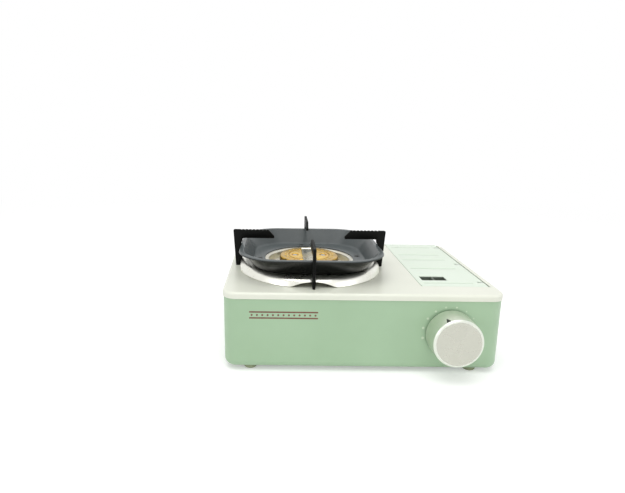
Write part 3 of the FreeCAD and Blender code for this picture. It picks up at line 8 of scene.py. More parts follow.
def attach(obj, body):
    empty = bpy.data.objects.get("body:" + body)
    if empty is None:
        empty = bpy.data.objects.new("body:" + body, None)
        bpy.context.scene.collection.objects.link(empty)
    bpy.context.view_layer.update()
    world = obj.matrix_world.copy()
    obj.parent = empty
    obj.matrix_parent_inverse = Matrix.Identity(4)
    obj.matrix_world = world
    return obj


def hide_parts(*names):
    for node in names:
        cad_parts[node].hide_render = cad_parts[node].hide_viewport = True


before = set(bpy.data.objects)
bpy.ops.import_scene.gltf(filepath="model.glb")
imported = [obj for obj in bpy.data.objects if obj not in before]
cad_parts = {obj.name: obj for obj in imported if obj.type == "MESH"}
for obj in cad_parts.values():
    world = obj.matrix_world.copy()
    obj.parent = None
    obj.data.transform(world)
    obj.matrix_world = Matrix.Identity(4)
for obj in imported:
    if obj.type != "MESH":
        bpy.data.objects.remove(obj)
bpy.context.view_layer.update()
MM = 0.001

# Camera
# It stands where the photograph was taken from: left of the stove's middle, about 24 cm up and half a
# metre in front, with a wide lens. The shift is the cut-out's, whose centre isn't the lens's.
CAMERA_PLACE = Vector((-83.8, -525.6, 239.6)) * MM
CAMERA_PITCH = 0.1729
CAMERA_YAW = 0.0017
CAMERA_ROLL = 0.0120
FOCAL_PX = 479.24
LENS_CENTRE_PX = (279.1, 209.0)
PHOTO_PX = (625, 493)
SENSOR_W = 36.0

forward = Vector((math.sin(CAMERA_YAW) * math.cos(CAMERA_PITCH),
                  math.cos(CAMERA_YAW) * math.cos(CAMERA_PITCH), -math.sin(CAMERA_PITCH)))
level = Vector((math.cos(CAMERA_YAW), -math.sin(CAMERA_YAW), 0))
upright = level.cross(forward)
camera_right = level * math.cos(CAMERA_ROLL) + upright * math.sin(CAMERA_ROLL)
camera_up = upright * math.cos(CAMERA_ROLL) - level * math.sin(CAMERA_ROLL)
camera_data = bpy.data.cameras.new("photo_camera")
camera_data.sensor_width = SENSOR_W
camera_data.lens = FOCAL_PX / PHOTO_PX[0] * SENSOR_W
camera_data.shift_x = (PHOTO_PX[0] / 2 - LENS_CENTRE_PX[0]) / PHOTO_PX[0]
camera_data.shift_y = -(PHOTO_PX[1] / 2 - LENS_CENTRE_PX[1]) / PHOTO_PX[0]
camera_data.clip_start = 0.01
camera = bpy.data.objects.new("photo_camera", camera_data)
turn = Matrix((camera_right, camera_up, -forward)).transposed().to_4x4()
camera.matrix_world = Matrix.Translation(CAMERA_PLACE) @ turn
bpy.context.scene.collection.objects.link(camera)
bpy.context.scene.camera = camera

# Studio
# A white floor that fades into a white surround, under an even sky with a large soft lamp above, one
# in front and a smaller one to each side, as for a catalogue picture. The floor keeps a soft shadow.
FLOOR_HALF = 6.0
FLOOR_WHITE = 0.86
FLOOR_LIFT = 0.30
FLOOR_FADE = (0.35, 1.3)
SKY_LIGHT = 0.60
LAMPS = (("above", (-0.15, -0.35, 1.60), 1.3, 12.5), ("front", (0.20, -1.80, 1.10), 1.2, 2.4),
         ("left", (-1.50, -1.20, 0.60), 0.4, 3.4), ("right", (1.60, -1.10, 0.50), 0.4, 3.0))


def feed(tree, node, inputs):
    """Sets a node's inputs; a socket is linked and anything else is the input's own value."""
    for key, value in inputs.items():
        if isinstance(value, bpy.types.NodeSocket):
            tree.links.new(value, node.inputs[key])
        else:
            node.inputs[key].default_value = value


def put(tree, kind, inputs=None, **options):
    """Adds a node of that kind with its options, and feeds its inputs."""
    node = tree.nodes.new(kind)
    for name, value in options.items():
        setattr(node, name, value)
    feed(tree, node, inputs or {})
    return node


def sums(tree, operation, *values):
    """The result of one sum in the node tree."""
    return put(tree, "ShaderNodeMath", dict(enumerate(values)), operation=operation).outputs[0]


def arrows(tree, operation, *vectors):
    """The result of one sum of vectors; a length or a dot product is a number."""
    node = put(tree, "ShaderNodeVectorMath", dict(enumerate(vectors)), operation=operation)
    return node.outputs["Value" if operation in ("LENGTH", "DOT_PRODUCT") else "Vector"]


def own_place(tree):
    """Where a point lies in its piece's own space, which is the frame's."""
    return put(tree, "ShaderNodeTexCoord").outputs["Object"]


def link_new(name, data):
    thing = bpy.data.objects.new(name, data)
    bpy.context.scene.collection.objects.link(thing)
    return thing


def seen_rays(tree):
    """1 for the rays that show the surround itself: to the camera, off gloss and through glass."""
    path = put(tree, "ShaderNodeLightPath").outputs
    shown = sums(tree, "MAXIMUM", path["Is Camera Ray"], path["Is Glossy Ray"])
    return sums(tree, "MAXIMUM", shown, path["Is Transmission Ray"])


floor_shape = bmesh.new()
bmesh.ops.create_grid(floor_shape, x_segments=1, y_segments=1, size=FLOOR_HALF)
floor_mesh = bpy.data.meshes.new("studio_floor")
floor_shape.to_mesh(floor_mesh)
floor_shape.free()
floor = link_new("studio_floor", floor_mesh)
floor_paint = bpy.data.materials.new("studio_white")
floor_paint.use_nodes = True
tree = floor_paint.node_tree
tree.nodes.clear()
seen = seen_rays(tree)
matt = put(tree, "ShaderNodeBsdfDiffuse", {"Color": (FLOOR_WHITE, FLOOR_WHITE, FLOOR_WHITE, 1)})
lift = put(tree, "ShaderNodeEmission", {"Strength": sums(tree, "MULTIPLY", seen, FLOOR_LIFT)})
near_floor = put(tree, "ShaderNodeAddShader", {0: matt.outputs[0], 1: lift.outputs[0]})
far_floor = put(tree, "ShaderNodeEmission", {"Strength": 1.0})
away = arrows(tree, "LENGTH", own_place(tree))
fade = put(tree, "ShaderNodeMapRange", {"Value": away, "From Min": FLOOR_FADE[0], "From Max": FLOOR_FADE[1]},
           interpolation_type="SMOOTHSTEP").outputs[0]
whole_floor = put(tree, "ShaderNodeMixShader", {0: sums(tree, "MULTIPLY", seen, fade),
                                                1: near_floor.outputs[0], 2: far_floor.outputs[0]})
put(tree, "ShaderNodeOutputMaterial", {"Surface": whole_floor.outputs[0]})
floor_mesh.materials.append(floor_paint)

sky = bpy.data.worlds.new("studio_sky")
sky.use_nodes = True
tree = sky.node_tree
tree.nodes.clear()
strength = sums(tree, "MULTIPLY_ADD", seen_rays(tree), 1.0 - SKY_LIGHT, SKY_LIGHT)
backdrop = put(tree, "ShaderNodeBackground", {"Color": (1, 1, 1, 1), "Strength": strength})
put(tree, "ShaderNodeOutputWorld", {"Surface": backdrop.outputs[0]})
bpy.context.scene.world = sky

for lamp_name, place, size, power in LAMPS:
    lamp_data = bpy.data.lights.new(lamp_name, "AREA")
    lamp_data.size = size
    lamp_data.energy = power
    lamp = link_new(lamp_name, lamp_data)
    aim = Vector((0, 0, 0.05)) - Vector(place)
    lamp.matrix_world = Matrix.Translation(place) @ aim.to_track_quat("-Z", "Y").to_matrix().to_4x4()

bpy.context.scene.view_settings.view_transform = "Standard"

# Tub
# The lower casing: deep-drawn steel sheet in satin mint paint, baked on, with a drafted wall and a
# rounded bottom edge. Air slots are punched in its floor and back.
MINT = (170, 200, 166)
MINT_SHADE = (162, 192, 157)
TUB_PARTING_Z = 74.7
TUB_FRONT_Y = -87.2
TUB_DRAFT = math.radians(0.83)


def ink(red, green, blue):
    """A colour given as 0 to 255 screen values."""
    parts = [((c / 255 + 0.055) / 1.055) ** 2.4 if c > 10 else c / 3295 for c in (red, green, blue)]
    return (*parts, 1)


def mixed(tree, share, low, high):
    """The low colour, turned to the high one by that share."""
    return put(tree, "ShaderNodeMix", {0: share, 6: low, 7: high}, data_type="RGBA").outputs[2]


def ranged(tree, value, start, end, low, high):
    """value from start to end becomes low to high, and no further."""
    return put(tree, "ShaderNodeMapRange",
               {"Value": value, "From Min": start, "From Max": end, "To Min": low, "To Max": high}).outputs[0]


def new_group(name, kind, inputs, outputs):
    """A group of shader or geometry nodes, with its inputs and outputs named and their socket kinds."""
    group = bpy.data.node_groups.new(name, kind)
    for way, sockets in (("INPUT", inputs), ("OUTPUT", outputs)):
        for label, socket in sockets.items():
            group.interface.new_socket(label, in_out=way, socket_type="NodeSocket" + socket)
    return group, group.nodes.new("NodeGroupInput").outputs, group.nodes.new("NodeGroupOutput")


# Soft edge: the small round that every pressed, cast or sanded edge has, and a mask of those edges.
soft_edge, given, made = new_group("soft_edge", "ShaderNodeTree", {"Radius": "Float"},
                                   {"Normal": "Vector", "Edge": "Float"})
rounded = put(soft_edge, "ShaderNodeBevel", {"Radius": given["Radius"]}, samples=6).outputs[0]
facing = arrows(soft_edge, "DOT_PRODUCT", rounded, put(soft_edge, "ShaderNodeNewGeometry").outputs["Normal"])
feed(soft_edge, made, {"Normal": rounded, "Edge": ranged(soft_edge, facing, 0.995, 0.80, 0.0, 1.0)})

# Skin: fine dimples of a sprayed or moulded skin, the broad uneven tone under it, and specks of dust.
skin, given, made = new_group("skin", "ShaderNodeTree", {"Fine Scale": "Float", "Broad Scale": "Float"},
                              {"Dimples": "Float", "Tone": "Float", "Specks": "Float"})
spot = own_place(skin)
dimples = put(skin, "ShaderNodeTexNoise", {"Vector": spot, "Scale": given["Fine Scale"], "Detail": 2.0})
tone = put(skin, "ShaderNodeTexNoise", {"Vector": spot, "Scale": given["Broad Scale"], "Detail": 4.0,
                                        "Roughness": 0.6})
specks = put(skin, "ShaderNodeTexNoise", {"Vector": spot, "Scale": 700.0, "Detail": 1.0})
feed(skin, made, {"Dimples": dimples.outputs[0], "Tone": ranged(skin, tone.outputs[0], 0.3, 0.7, 0.0, 1.0),
                  "Specks": ranged(skin, specks.outputs[0], 0.70, 0.76, 0.0, 1.0)})


def new_finish(name, plain):
    """A material, its node tree and its shader, which takes the plain values given."""
    material = bpy.data.materials.new(name)
    material.use_nodes = True
    tree = material.node_tree
    tree.nodes.clear()
    shader = put(tree, "ShaderNodeBsdfPrincipled", plain)
    put(tree, "ShaderNodeOutputMaterial", {"Surface": shader.outputs[0]})
    return material, tree, shader


def skin_of(tree, fine, broad):
    """The skin of a finish, as the outputs of its group."""
    return put(tree, "ShaderNodeGroup", {"Fine Scale": fine, "Broad Scale": broad}, node_tree=skin).outputs


def skinned(tree, edge_radius, fine, broad):
    """The soft edge and the skin of a finish, as the outputs of their groups."""
    edge = put(tree, "ShaderNodeGroup", {"Radius": edge_radius}, node_tree=soft_edge)
    return edge.outputs, skin_of(tree, fine, broad)


def toned(tree, surface, shade, colour):
    """A colour that turns to its shade as the skin's tone does."""
    return mixed(tree, surface["Tone"], ink(*shade), ink(*colour))


def rubbed(tree, edge, share, base, colour):
    """The base, rubbed on its edges towards another colour by that share."""
    return mixed(tree, sums(tree, "MULTIPLY", edge["Edge"], share), base, ink(*colour))


def bumped(tree, height, strength, depth, edge=None):
    """The normal over a fine relief, whose depth is in metres, and over the soft edge where one is given."""
    inputs = {"Height": height, "Strength": strength, "Distance": depth}
    if edge:
        inputs["Normal"] = edge["Normal"]
    return put(tree, "ShaderNodeBump", inputs).outputs[0]


def painted(name, colour, shade, gloss, peel, edge_radius, edge_colour, groove=None):
    """Sprayed and baked paint: orange peel, an uneven tone, thin on edges, and painted shade in pressed
    grooves.
    """
    material, tree, shader = new_finish(name, {"Coat Weight": 0.3, "Coat Roughness": 0.22, "IOR": 1.5})
    edge, surface = skinned(tree, edge_radius, 1100.0, 9.0)
    base = toned(tree, surface, shade, colour)
    # Painted shade: where the lid's grooves sink, the paint turns to the darker groove colour.
    if groove:
        sunk = put(tree, "ShaderNodeAttribute", attribute_name="groove").outputs["Fac"]
        base = mixed(tree, sunk, base, ink(*groove))
    feed(tree, shader, {"Base Color": rubbed(tree, edge, 0.55, base, edge_colour),
                        "Normal": bumped(tree, surface["Dimples"], peel, 0.0002, edge),
                        "Roughness": ranged(tree, surface["Tone"], 0.0, 1.0, gloss + 0.05, gloss - 0.03)})
    return material


def dress(material, *nodes):
    """Gives CAD nodes their finish."""
    for name in nodes:
        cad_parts[name].data.materials.clear()
        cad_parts[name].data.materials.append(material)


mint_paint = painted("mint_paint", MINT, MINT_SHADE, 0.42, 0.10, 0.0006, (184, 207, 178))
dress(mint_paint, "body_shell")

# Printed marks
# Screen-printed ink on the tub's front: a ring of pale dots round the knob that grow towards its full
# setting, and a plain brown double line with dots between, where the real one has words.
KNOB_X = 84.5
KNOB_Z = 42.5
DIAL_R = 26.6
DIAL_FIRST = 192.0
DIAL_STEP = 22.5
DIAL_COUNT = 9
DIAL_DOT_R = 1.35
DIAL_DOT_SHRINK = 0.07
BAND_X = (-111.0, -44.0)
BAND_Z = (55.0, 62.6)
BAND_LINE_H = 1.5
BAND_END_R = 0.7
BAND_DOTS = 13
BAND_DOT_R = 1.0
INK_T = 0.04
SHARP_TURN = math.radians(32.0)


def panel_point(x, z):
    """A point on the tub's front, in metres, from its X and Z in millimetres."""
    return Vector((x, TUB_FRONT_Y + (TUB_PARTING_Z - z) * math.tan(TUB_DRAFT), z)) * MM


def grown(name, places, growth, values, scales=None):
    """Grows parts on the places, points in metres, and keeps them as one plain mesh."""
    seed_mesh = bpy.data.meshes.new(name + "_places")
    seed_mesh.from_pydata([tuple(p) for p in places], [], [])
    if scales:
        sized = seed_mesh.attributes.new("size", "FLOAT", "POINT")
        sized.data.foreach_set("value", scales)
    holder = link_new(name + "_places", seed_mesh)
    modifier = holder.modifiers.new("growth", "NODES")
    modifier.node_group = growth
    for item in growth.interface.items_tree:
        if item.in_out == "INPUT" and item.name in values:
            modifier[item.identifier] = values[item.name]
    depsgraph = bpy.context.evaluated_depsgraph_get()
    mesh = bpy.data.meshes.new_from_object(holder.evaluated_get(depsgraph))
    mesh.name = name
    bpy.data.objects.remove(holder)
    return mesh


def shown(name, mesh, body, slot, stands_for=()):
    """Puts a finished mesh in the scene, on its body, in place of the CAD nodes that it stands for."""
    mesh.polygons.foreach_set("use_smooth", [True] * len(mesh.polygons))
    mesh.set_sharp_from_angle(angle=SHARP_TURN)
    piece = link_new(name, mesh)
    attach(piece, body)
    if stands_for:
        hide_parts(*stands_for)
    return piece


def arrow(tree, x=0.0, y=0.0, z=0.0):
    """A vector from its three parts."""
    return put(tree, "ShaderNodeCombineXYZ", {0: x, 1: y, 2: z}).outputs[0]


def new_growth(name, inputs):
    """A group of geometry nodes that grows a part on each point of a mesh."""
    points = {"Geometry": "Geometry"}
    return new_group(name, "GeometryNodeTree", points | inputs, points)


def planted(tree, given, made, part, more=None):
    """Ends a growth: the part on each of its points, made real and given its finish."""
    row = put(tree, "GeometryNodeInstanceOnPoints",
              {"Points": given["Geometry"], "Instance": part} | (more or {}))
    real = put(tree, "GeometryNodeRealizeInstances", {"Geometry": row.outputs[0]})
    dressed = put(tree, "GeometryNodeSetMaterial", {"Geometry": real.outputs[0], "Material": given["Finish"]})
    feed(tree, made, {0: dressed.outputs[0]})


dots, given, made = new_growth("printed_dots", {"Radius": "Float", "Thickness": "Float", "Lean": "Float",
                                                "Finish": "Material"})
disc = put(dots, "GeometryNodeMeshCylinder", {"Vertices": 24, "Radius": given["Radius"],
                                              "Depth": given["Thickness"]})
size_read = put(dots, "GeometryNodeInputNamedAttribute", {"Name": "size"}, data_type="FLOAT")
planted(dots, given, made, disc.outputs["Mesh"],
        {"Rotation": arrow(dots, given["Lean"]), "Scale": size_read.outputs["Attribute"]})


def printed(name, colour, thin):
    """Screen ink: a little uneven, thinner in places, so that the paint shows through."""
    material, tree, shader = new_finish(name, {"Roughness": 0.45})
    surface = skin_of(tree, 1500.0, 220.0)
    feed(tree, shader, {"Base Color": toned(tree, surface, thin, colour),
                        "Normal": bumped(tree, surface["Dimples"], 0.1, 0.0001)})
    return material


def dotted(name, places, radius, finish, sizes):
    """Prints a dot on each place, level with the tub's front."""
    values = {"Radius": radius * MM, "Thickness": 2 * INK_T * MM, "Lean": math.pi / 2 - TUB_DRAFT,
              "Finish": finish}
    shown(name, grown(name, places, dots, values, sizes), "casing", "tub_paint")


pale_ink = printed("pale_ink", (214, 228, 205), (196, 216, 188))
brown_ink = printed("brown_ink", (112, 66, 56), (130, 88, 74))
dial_turns = [math.radians(DIAL_FIRST - DIAL_STEP * k) for k in range(DIAL_COUNT)]
dial_places = [panel_point(KNOB_X + DIAL_R * math.cos(a), KNOB_Z + DIAL_R * math.sin(a)) for a in dial_turns]
dotted("dial_dots", dial_places, DIAL_DOT_R, pale_ink, [1.0 - DIAL_DOT_SHRINK * k for k in range(DIAL_COUNT)])
band_middle = (BAND_Z[0] + BAND_Z[1]) / 2
band_xs = [BAND_X[0] + (k + 0.5) * (BAND_X[1] - BAND_X[0]) / BAND_DOTS for k in range(BAND_DOTS)]
dotted("front_band_dots", [panel_point(x, band_middle) for x in band_xs], BAND_DOT_R, brown_ink,
       [1.0] * BAND_DOTS)


def filleted(corners, steps=6, closed=True):
    """Points along (a, b) or (a, b, radius) corners, with each round as a run of short steps."""
    points = []
    for k, corner in enumerate(corners):
        here = Vector(corner[:2])
        radius = corner[2] if len(corner) > 2 else 0.0
        inner = closed or 0 < k < len(corners) - 1
        if radius == 0.0 or not inner:
            points.append(here)
            continue
        back = (Vector(corners[k - 1][:2]) - here).normalized()
        ahead = (Vector(corners[(k + 1) % len(corners)][:2]) - here).normalized()
        half = back.angle(ahead) / 2
        centre = here + (back + ahead).normalized() * radius / math.sin(half)
        start = here + back * radius / math.tan(half) - centre
        end = here + ahead * radius / math.tan(half) - centre
        sweep = start.angle_signed(end)
        for step in range(steps + 1):
            points.append(centre + Matrix.Rotation(-sweep * step / steps, 2) @ start)
    return points


def drawn_out(points, place, rise):
    """A solid from a flat outline: place puts its (a, b) points in space, and rise draws it out."""
    shape = bmesh.new()
    face = shape.faces.new([shape.verts.new(place(p[0], p[1])) for p in points])
    extruded = bmesh.ops.extrude_face_region(shape, geom=[face])
    lifted = [v for v in extruded["geom"] if isinstance(v, bmesh.types.BMVert)]
    bmesh.ops.translate(shape, verts=lifted, vec=rise)
    bmesh.ops.recalc_face_normals(shape, faces=shape.faces)
    return shape


def as_mesh(name, shape, material):
    mesh = bpy.data.meshes.new(name)
    shape.to_mesh(mesh)
    shape.free()
    mesh.materials.append(material)
    return mesh


half_h = BAND_LINE_H / 2
for name, z in (("front_band_top", BAND_Z[1] - half_h), ("front_band_foot", BAND_Z[0] + half_h)):
    sides = zip(BAND_X + BAND_X[::-1], (-half_h, -half_h, half_h, half_h))
    stripe = filleted([(x, z + up, BAND_END_R) for x, up in sides], 4)
    line = drawn_out(stripe, panel_point, Vector((0, -INK_T, 0)) * MM)
    shown(name, as_mesh(name, line, brown_ink), "casing", "tub_paint")

# Feet
# Four grey-green rubber buttons, each pushed through a hole in the floor and held by its own head.
# They carry a little dust.


def moulded(name, colour, shade, roughness, grain, dust=0.0, fine=1300.0):
    """Moulded rubber or plastic: fine grain from the mould, an uneven tone and a little dust."""
    material, tree, shader = new_finish(name, {"IOR": 1.5})
    edge, surface = skinned(tree, 0.0003, fine, 60.0)
    dusty = mixed(tree, sums(tree, "MULTIPLY", surface["Specks"], dust), toned(tree, surface, shade, colour),
                  ink(190, 188, 178))
    feed(tree, shader, {"Base Color": dusty, "Normal": bumped(tree, surface["Dimples"], grain, 0.0002, edge),
                        "Roughness": ranged(tree, surface["Tone"], 0.0, 1.0, roughness + 0.06,
                                            roughness - 0.05)})
    return material


foot_rubber = moulded("foot_rubber", (158, 166, 134), (140, 148, 118), 0.72, 0.35, 0.4)
dress(foot_rubber, "foot_front_left", "foot_front_right", "foot_rear_left", "foot_rear_right")

# Floor brackets, posts, cradle and heat shield
# Zinc-plated sheet steel, folded and screwed to the floor of the tub: stands for the burner, piezo
# unit and regulator, the nozzle's strip, the trough the cartridge lies in with its two saddles, and
# the upright shield that keeps the burner's heat off it. The posts are turned from the same steel.
streaks, given, made = new_group("streaks", "ShaderNodeTree", {"Stretch": "Vector"},
                                 {"Lines": "Float", "Patches": "Float"})
spot = own_place(streaks)
along = arrows(streaks, "MULTIPLY", spot, given["Stretch"])
lines = put(streaks, "ShaderNodeTexNoise", {"Vector": along, "Scale": 1.0, "Detail": 3.0, "Roughness": 0.65})
patches = put(streaks, "ShaderNodeTexVoronoi", {"Vector": spot, "Scale": 160.0})
feed(streaks, made, {"Lines": lines.outputs[0], "Patches": patches.outputs["Color"]})


def sheet_metal(name, bright, dull, roughness, stretch, spangle=0.0):
    """Rolled or brushed metal: streaks along its grain, an uneven tone and softly rounded edges."""
    material, tree, shader = new_finish(name, {"Metallic": 1.0})
    edge, surface = skinned(tree, 0.00025, 600.0, 25.0)
    grain = put(tree, "ShaderNodeGroup", {"Stretch": stretch}, node_tree=streaks).outputs
    share = ranged(tree, grain["Lines"], 0.3, 0.7, 0.0, 1.0)
    base = mixed(tree, share, ink(*dull), ink(*bright))
    flowered = mixed(tree, sums(tree, "MULTIPLY", grain["Patches"], spangle), base, ink(*bright))
    uneven = sums(tree, "MULTIPLY_ADD", surface["Tone"], 0.10, roughness - 0.05)
    feed(tree, shader, {"Base Color": rubbed(tree, edge, 0.4, flowered, (225, 225, 220)),
                        "Normal": bumped(tree, grain["Lines"], 0.06, 0.0001, edge),
                        "Roughness": sums(tree, "MULTIPLY_ADD", share, 0.06, uneven)})
    return material


zinc_sheet = sheet_metal("zinc_sheet", (196, 199, 198), (158, 162, 164), 0.40, (60.0, 900.0, 900.0), 0.5)
dress(zinc_sheet, "burner_stand", "piezo_bracket", "regulator_bracket", "nozzle_bracket", "bay_cradle",
      "cradle_saddles", "heat_shield", "plate_posts", "hinge_ears", "electrode_bracket")

# Screws
# Pan-head steel screws with a cross recess: fourteen hold the brackets' and saddles' flanges to the
# floor from above, and four come up through the floor into the posts.
FLOOR_TOP_Z = 4.7
FLANGE_T = 1.2
FLOOR_UNDER_Z = 3.5
FLOOR_SHANK = 3.6
POST_SHANK = 10.0
PAN_HEAD = {"Head Radius": 2.8 * MM, "Head Height": 1.0 * MM, "Dome": 0.6 * MM, "Shank Radius": 1.5 * MM}


def joined(tree, *parts):
    """Several parts as one geometry."""
    node = put(tree, "GeometryNodeJoinGeometry")
    for part in parts:
        tree.links.new(part, node.inputs[0])
    return node.outputs[0]


screws, given, made = new_growth("cross_screws", {
    "Head Radius": "Float", "Head Height": "Float", "Dome": "Float", "Shank Radius": "Float",
    "Shank Length": "Float", "Turn": "Rotation", "Finish": "Material"})
head = put(screws, "GeometryNodeMeshCylinder",
           {"Vertices": 32, "Fill Segments": 4, "Radius": given["Head Radius"],
            "Depth": given["Head Height"]})
where = put(screws, "GeometryNodeInputPosition").outputs[0]
parts = put(screws, "ShaderNodeSeparateXYZ", {0: where}).outputs
reach = arrows(screws, "LENGTH", arrow(screws, parts[0], parts[1]))
share = sums(screws, "POWER", sums(screws, "DIVIDE", reach, given["Head Radius"]), 2.0)
crown = sums(screws, "MULTIPLY", sums(screws, "SUBTRACT", 1.0, share), given["Dome"])
above = sums(screws, "GREATER_THAN", parts[2], 0.0)
lift_by = arrow(screws, z=sums(screws, "MULTIPLY", crown, above))
recessed = put(screws, "GeometryNodeSetPosition", {"Geometry": head.outputs["Mesh"], "Offset": lift_by})
wide = sums(screws, "MULTIPLY", given["Head Radius"], 1.15)
narrow = sums(screws, "MULTIPLY", given["Head Radius"], 0.26)
deep = sums(screws, "MULTIPLY", given["Head Height"], 1.4)
raised = arrow(screws, z=sums(screws, "ADD", given["Head Height"], given["Dome"]))
for sides in ((wide, narrow, deep), (narrow, wide, deep)):
    slot_cut = put(screws, "GeometryNodeMeshCube", {"Size": arrow(screws, *sides)})
    raised_cut = put(screws, "GeometryNodeTransform", {"Geometry": slot_cut.outputs["Mesh"],
                                                       "Translation": raised})
    recessed = put(screws, "GeometryNodeMeshBoolean", {0: recessed.outputs[0], 1: raised_cut.outputs[0]},
                   operation="DIFFERENCE", solver="EXACT")
shank = put(screws, "GeometryNodeMeshCylinder", {"Vertices": 20, "Radius": given["Shank Radius"],
                                                 "Depth": given["Shank Length"]})
down = sums(screws, "MULTIPLY", sums(screws, "ADD", given["Shank Length"], given["Head Height"]), -0.5)
hung = put(screws, "GeometryNodeTransform", {"Geometry": shank.outputs["Mesh"],
                                             "Translation": arrow(screws, z=down)})
screw = joined(screws, recessed.outputs[0], hung.outputs[0])
planted(screws, given, made, screw, {"Rotation": given["Turn"]})


def solid_centres(node, z):
    """A point at height z, in metres, over the middle of each separate solid in a CAD node."""
    shape = bmesh.new()
    shape.from_mesh(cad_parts[node].data)
    bmesh.ops.remove_doubles(shape, verts=shape.verts, dist=1e-6)
    left = set(shape.verts)
    centres = []
    while left:
        island = {left.pop()}
        edge = list(island)
        while edge:
            for joined in edge.pop().link_edges:
                for vert in joined.verts:
                    if vert in left:
                        left.remove(vert)
                        island.add(vert)
                        edge.append(vert)
        low = Vector((min(v.co.x for v in island), min(v.co.y for v in island), z))
        high = Vector((max(v.co.x for v in island), max(v.co.y for v in island), z))
        centres.append((low + high) / 2)
    shape.free()
    return sorted(centres, key=lambda c: (c.x, c.y))


def cross_screws(node, seat_z, slot, head, shank, turn=0.0):
    """Replaces a CAD node of screws, whose heads sit on seat_z, with screws that have a cross recess."""
    middle = seat_z * MM + math.cos(turn) * head["Head Height"] / 2
    values = head | {"Shank Length": shank * MM, "Turn": (turn, 0, 0), "Finish": screw_steel}
    row = grown(node + "_cross", solid_centres(node, middle), screws, values)
    shown(node + "_cross", row, "casing", slot, [node])


screw_steel = sheet_metal("screw_steel", (205, 205, 200), (170, 171, 170), 0.32, (900.0, 900.0, 60.0))
cross_screws("floor_screws", FLOOR_TOP_Z + FLANGE_T, "zinc_steel", PAN_HEAD, FLOOR_SHANK)
cross_screws("post_screws", FLOOR_UNDER_Z, "zinc_steel", PAN_HEAD, POST_SHANK, math.pi)

# Burner
# A cast alloy bowl with a throat and a belled steel mixing tube, a stainless plate with the raised
# lane between the caps, and two half-round brass caps with flame ports, each held by a screw. Heat
# has tinted the steel straw and brown near the flame.
BURNER_X = -48.0
BURNER_Y = 6.4
CAP_SEAT_Z = 93.1
CAP_SHANK = 4.7
CAP_HEAD = PAN_HEAD | {"Head Height": 0.7 * MM, "Dome": 0.45 * MM}


def lathe_lines(tree, axis, across, fine, detail):
    """Turning lines: the way out from an axis, how far out, and a relief of fine rings."""
    outward = arrows(tree, "MULTIPLY", arrows(tree, "SUBTRACT", own_place(tree), axis), across)
    reach = arrows(tree, "LENGTH", outward)
    rings = put(tree, "ShaderNodeTexNoise", {"W": sums(tree, "MULTIPLY", reach, fine), "Scale": 1.0,
                                             "Detail": detail}, noise_dimensions="1D").outputs[0]
    return outward, reach, rings


def warmed(name, bright, dull, tint, roughness, rings=0.0, near=30.0, far=48.0, grain=900.0, edge_r=0.3,
           waves=0.12):
    """Metal round the burner: tinted by heat from near to far, with turning lines round its axis."""
    material, tree, shader = new_finish(name, {"Metallic": 1.0})
    edge, surface = skinned(tree, edge_r * MM, grain, 55.0)
    axis = (BURNER_X * MM, BURNER_Y * MM, 0.0)
    _, reach, lathe = lathe_lines(tree, axis, (1.0, 1.0, 0.0), 2600.0, 2.0)
    cloudy = sums(tree, "MULTIPLY", ranged(tree, reach, near * MM, far * MM, 1.0, 0.0), surface["Tone"])
    tinted = mixed(tree, cloudy, toned(tree, surface, dull, bright), ink(*tint))
    relief = sums(tree, "MULTIPLY_ADD", lathe, rings, surface["Dimples"])
    feed(tree, shader, {"Base Color": rubbed(tree, edge, 0.45, tinted, bright),
                        "Normal": bumped(tree, relief, waves, 0.0002, edge),
                        "Roughness": sums(tree, "MULTIPLY_ADD", surface["Tone"], 0.12, roughness)})
    return material


cast_alloy = warmed("cast_alloy", (176, 176, 172), (142, 142, 140), (150, 138, 118), 0.50, 0.0)
burner_steel = warmed("burner_steel", (218, 217, 206), (194, 194, 180), (196, 184, 150), 0.22, 0.8)
burner_brass = warmed("burner_brass", (250, 208, 74), (212, 164, 44), (112, 80, 30), 0.08, 0.5, near=31.0,
                      far=19.0, grain=170.0, edge_r=0.9, waves=0.5)
tube_steel = sheet_metal("tube_steel", (190, 190, 186), (156, 156, 154), 0.34, (60.0, 900.0, 900.0))
dress(cast_alloy, "burner_bowl", "regulator_body", "can_collar")
dress(burner_steel, "burner_head")
dress(burner_brass, "flame_cap_left", "flame_cap_right")
dress(tube_steel, "mixing_tube")
cross_screws("cap_screws", CAP_SEAT_Z, "stainless", CAP_HEAD, CAP_SHANK)

# Spark electrode
# A glazed white ceramic sleeve on a strip from the bowl, with a steel spark wire through it that
# bends in over the flame ports. The glaze is browned at the hot end.
SCORCH_Z = (82.0, 89.0)
ceramic, tree, shader = new_finish("glazed_ceramic", {"Coat Weight": 0.8, "Coat Roughness": 0.08,
                                                      "Subsurface Weight": 0.05})
surface = skin_of(tree, 500.0, 90.0)
height = put(tree, "ShaderNodeSeparateXYZ", {0: own_place(tree)}).outputs[2]
scorched = sums(tree, "MULTIPLY", ranged(tree, height, SCORCH_Z[0] * MM, SCORCH_Z[1] * MM, 0.0, 0.75),
                surface["Tone"])
glaze = toned(tree, surface, (226, 222, 208), (240, 238, 230))
feed(tree, shader, {"Base Color": mixed(tree, scorched, glaze, ink(150, 120, 88)),
                    "Normal": bumped(tree, surface["Dimples"], 0.08, 0.0001),
                    "Roughness": ranged(tree, surface["Tone"], 0.0, 1.0, 0.3, 0.2)})
dress(ceramic, "electrode_ceramic")
dress(burner_steel, "electrode_wire")

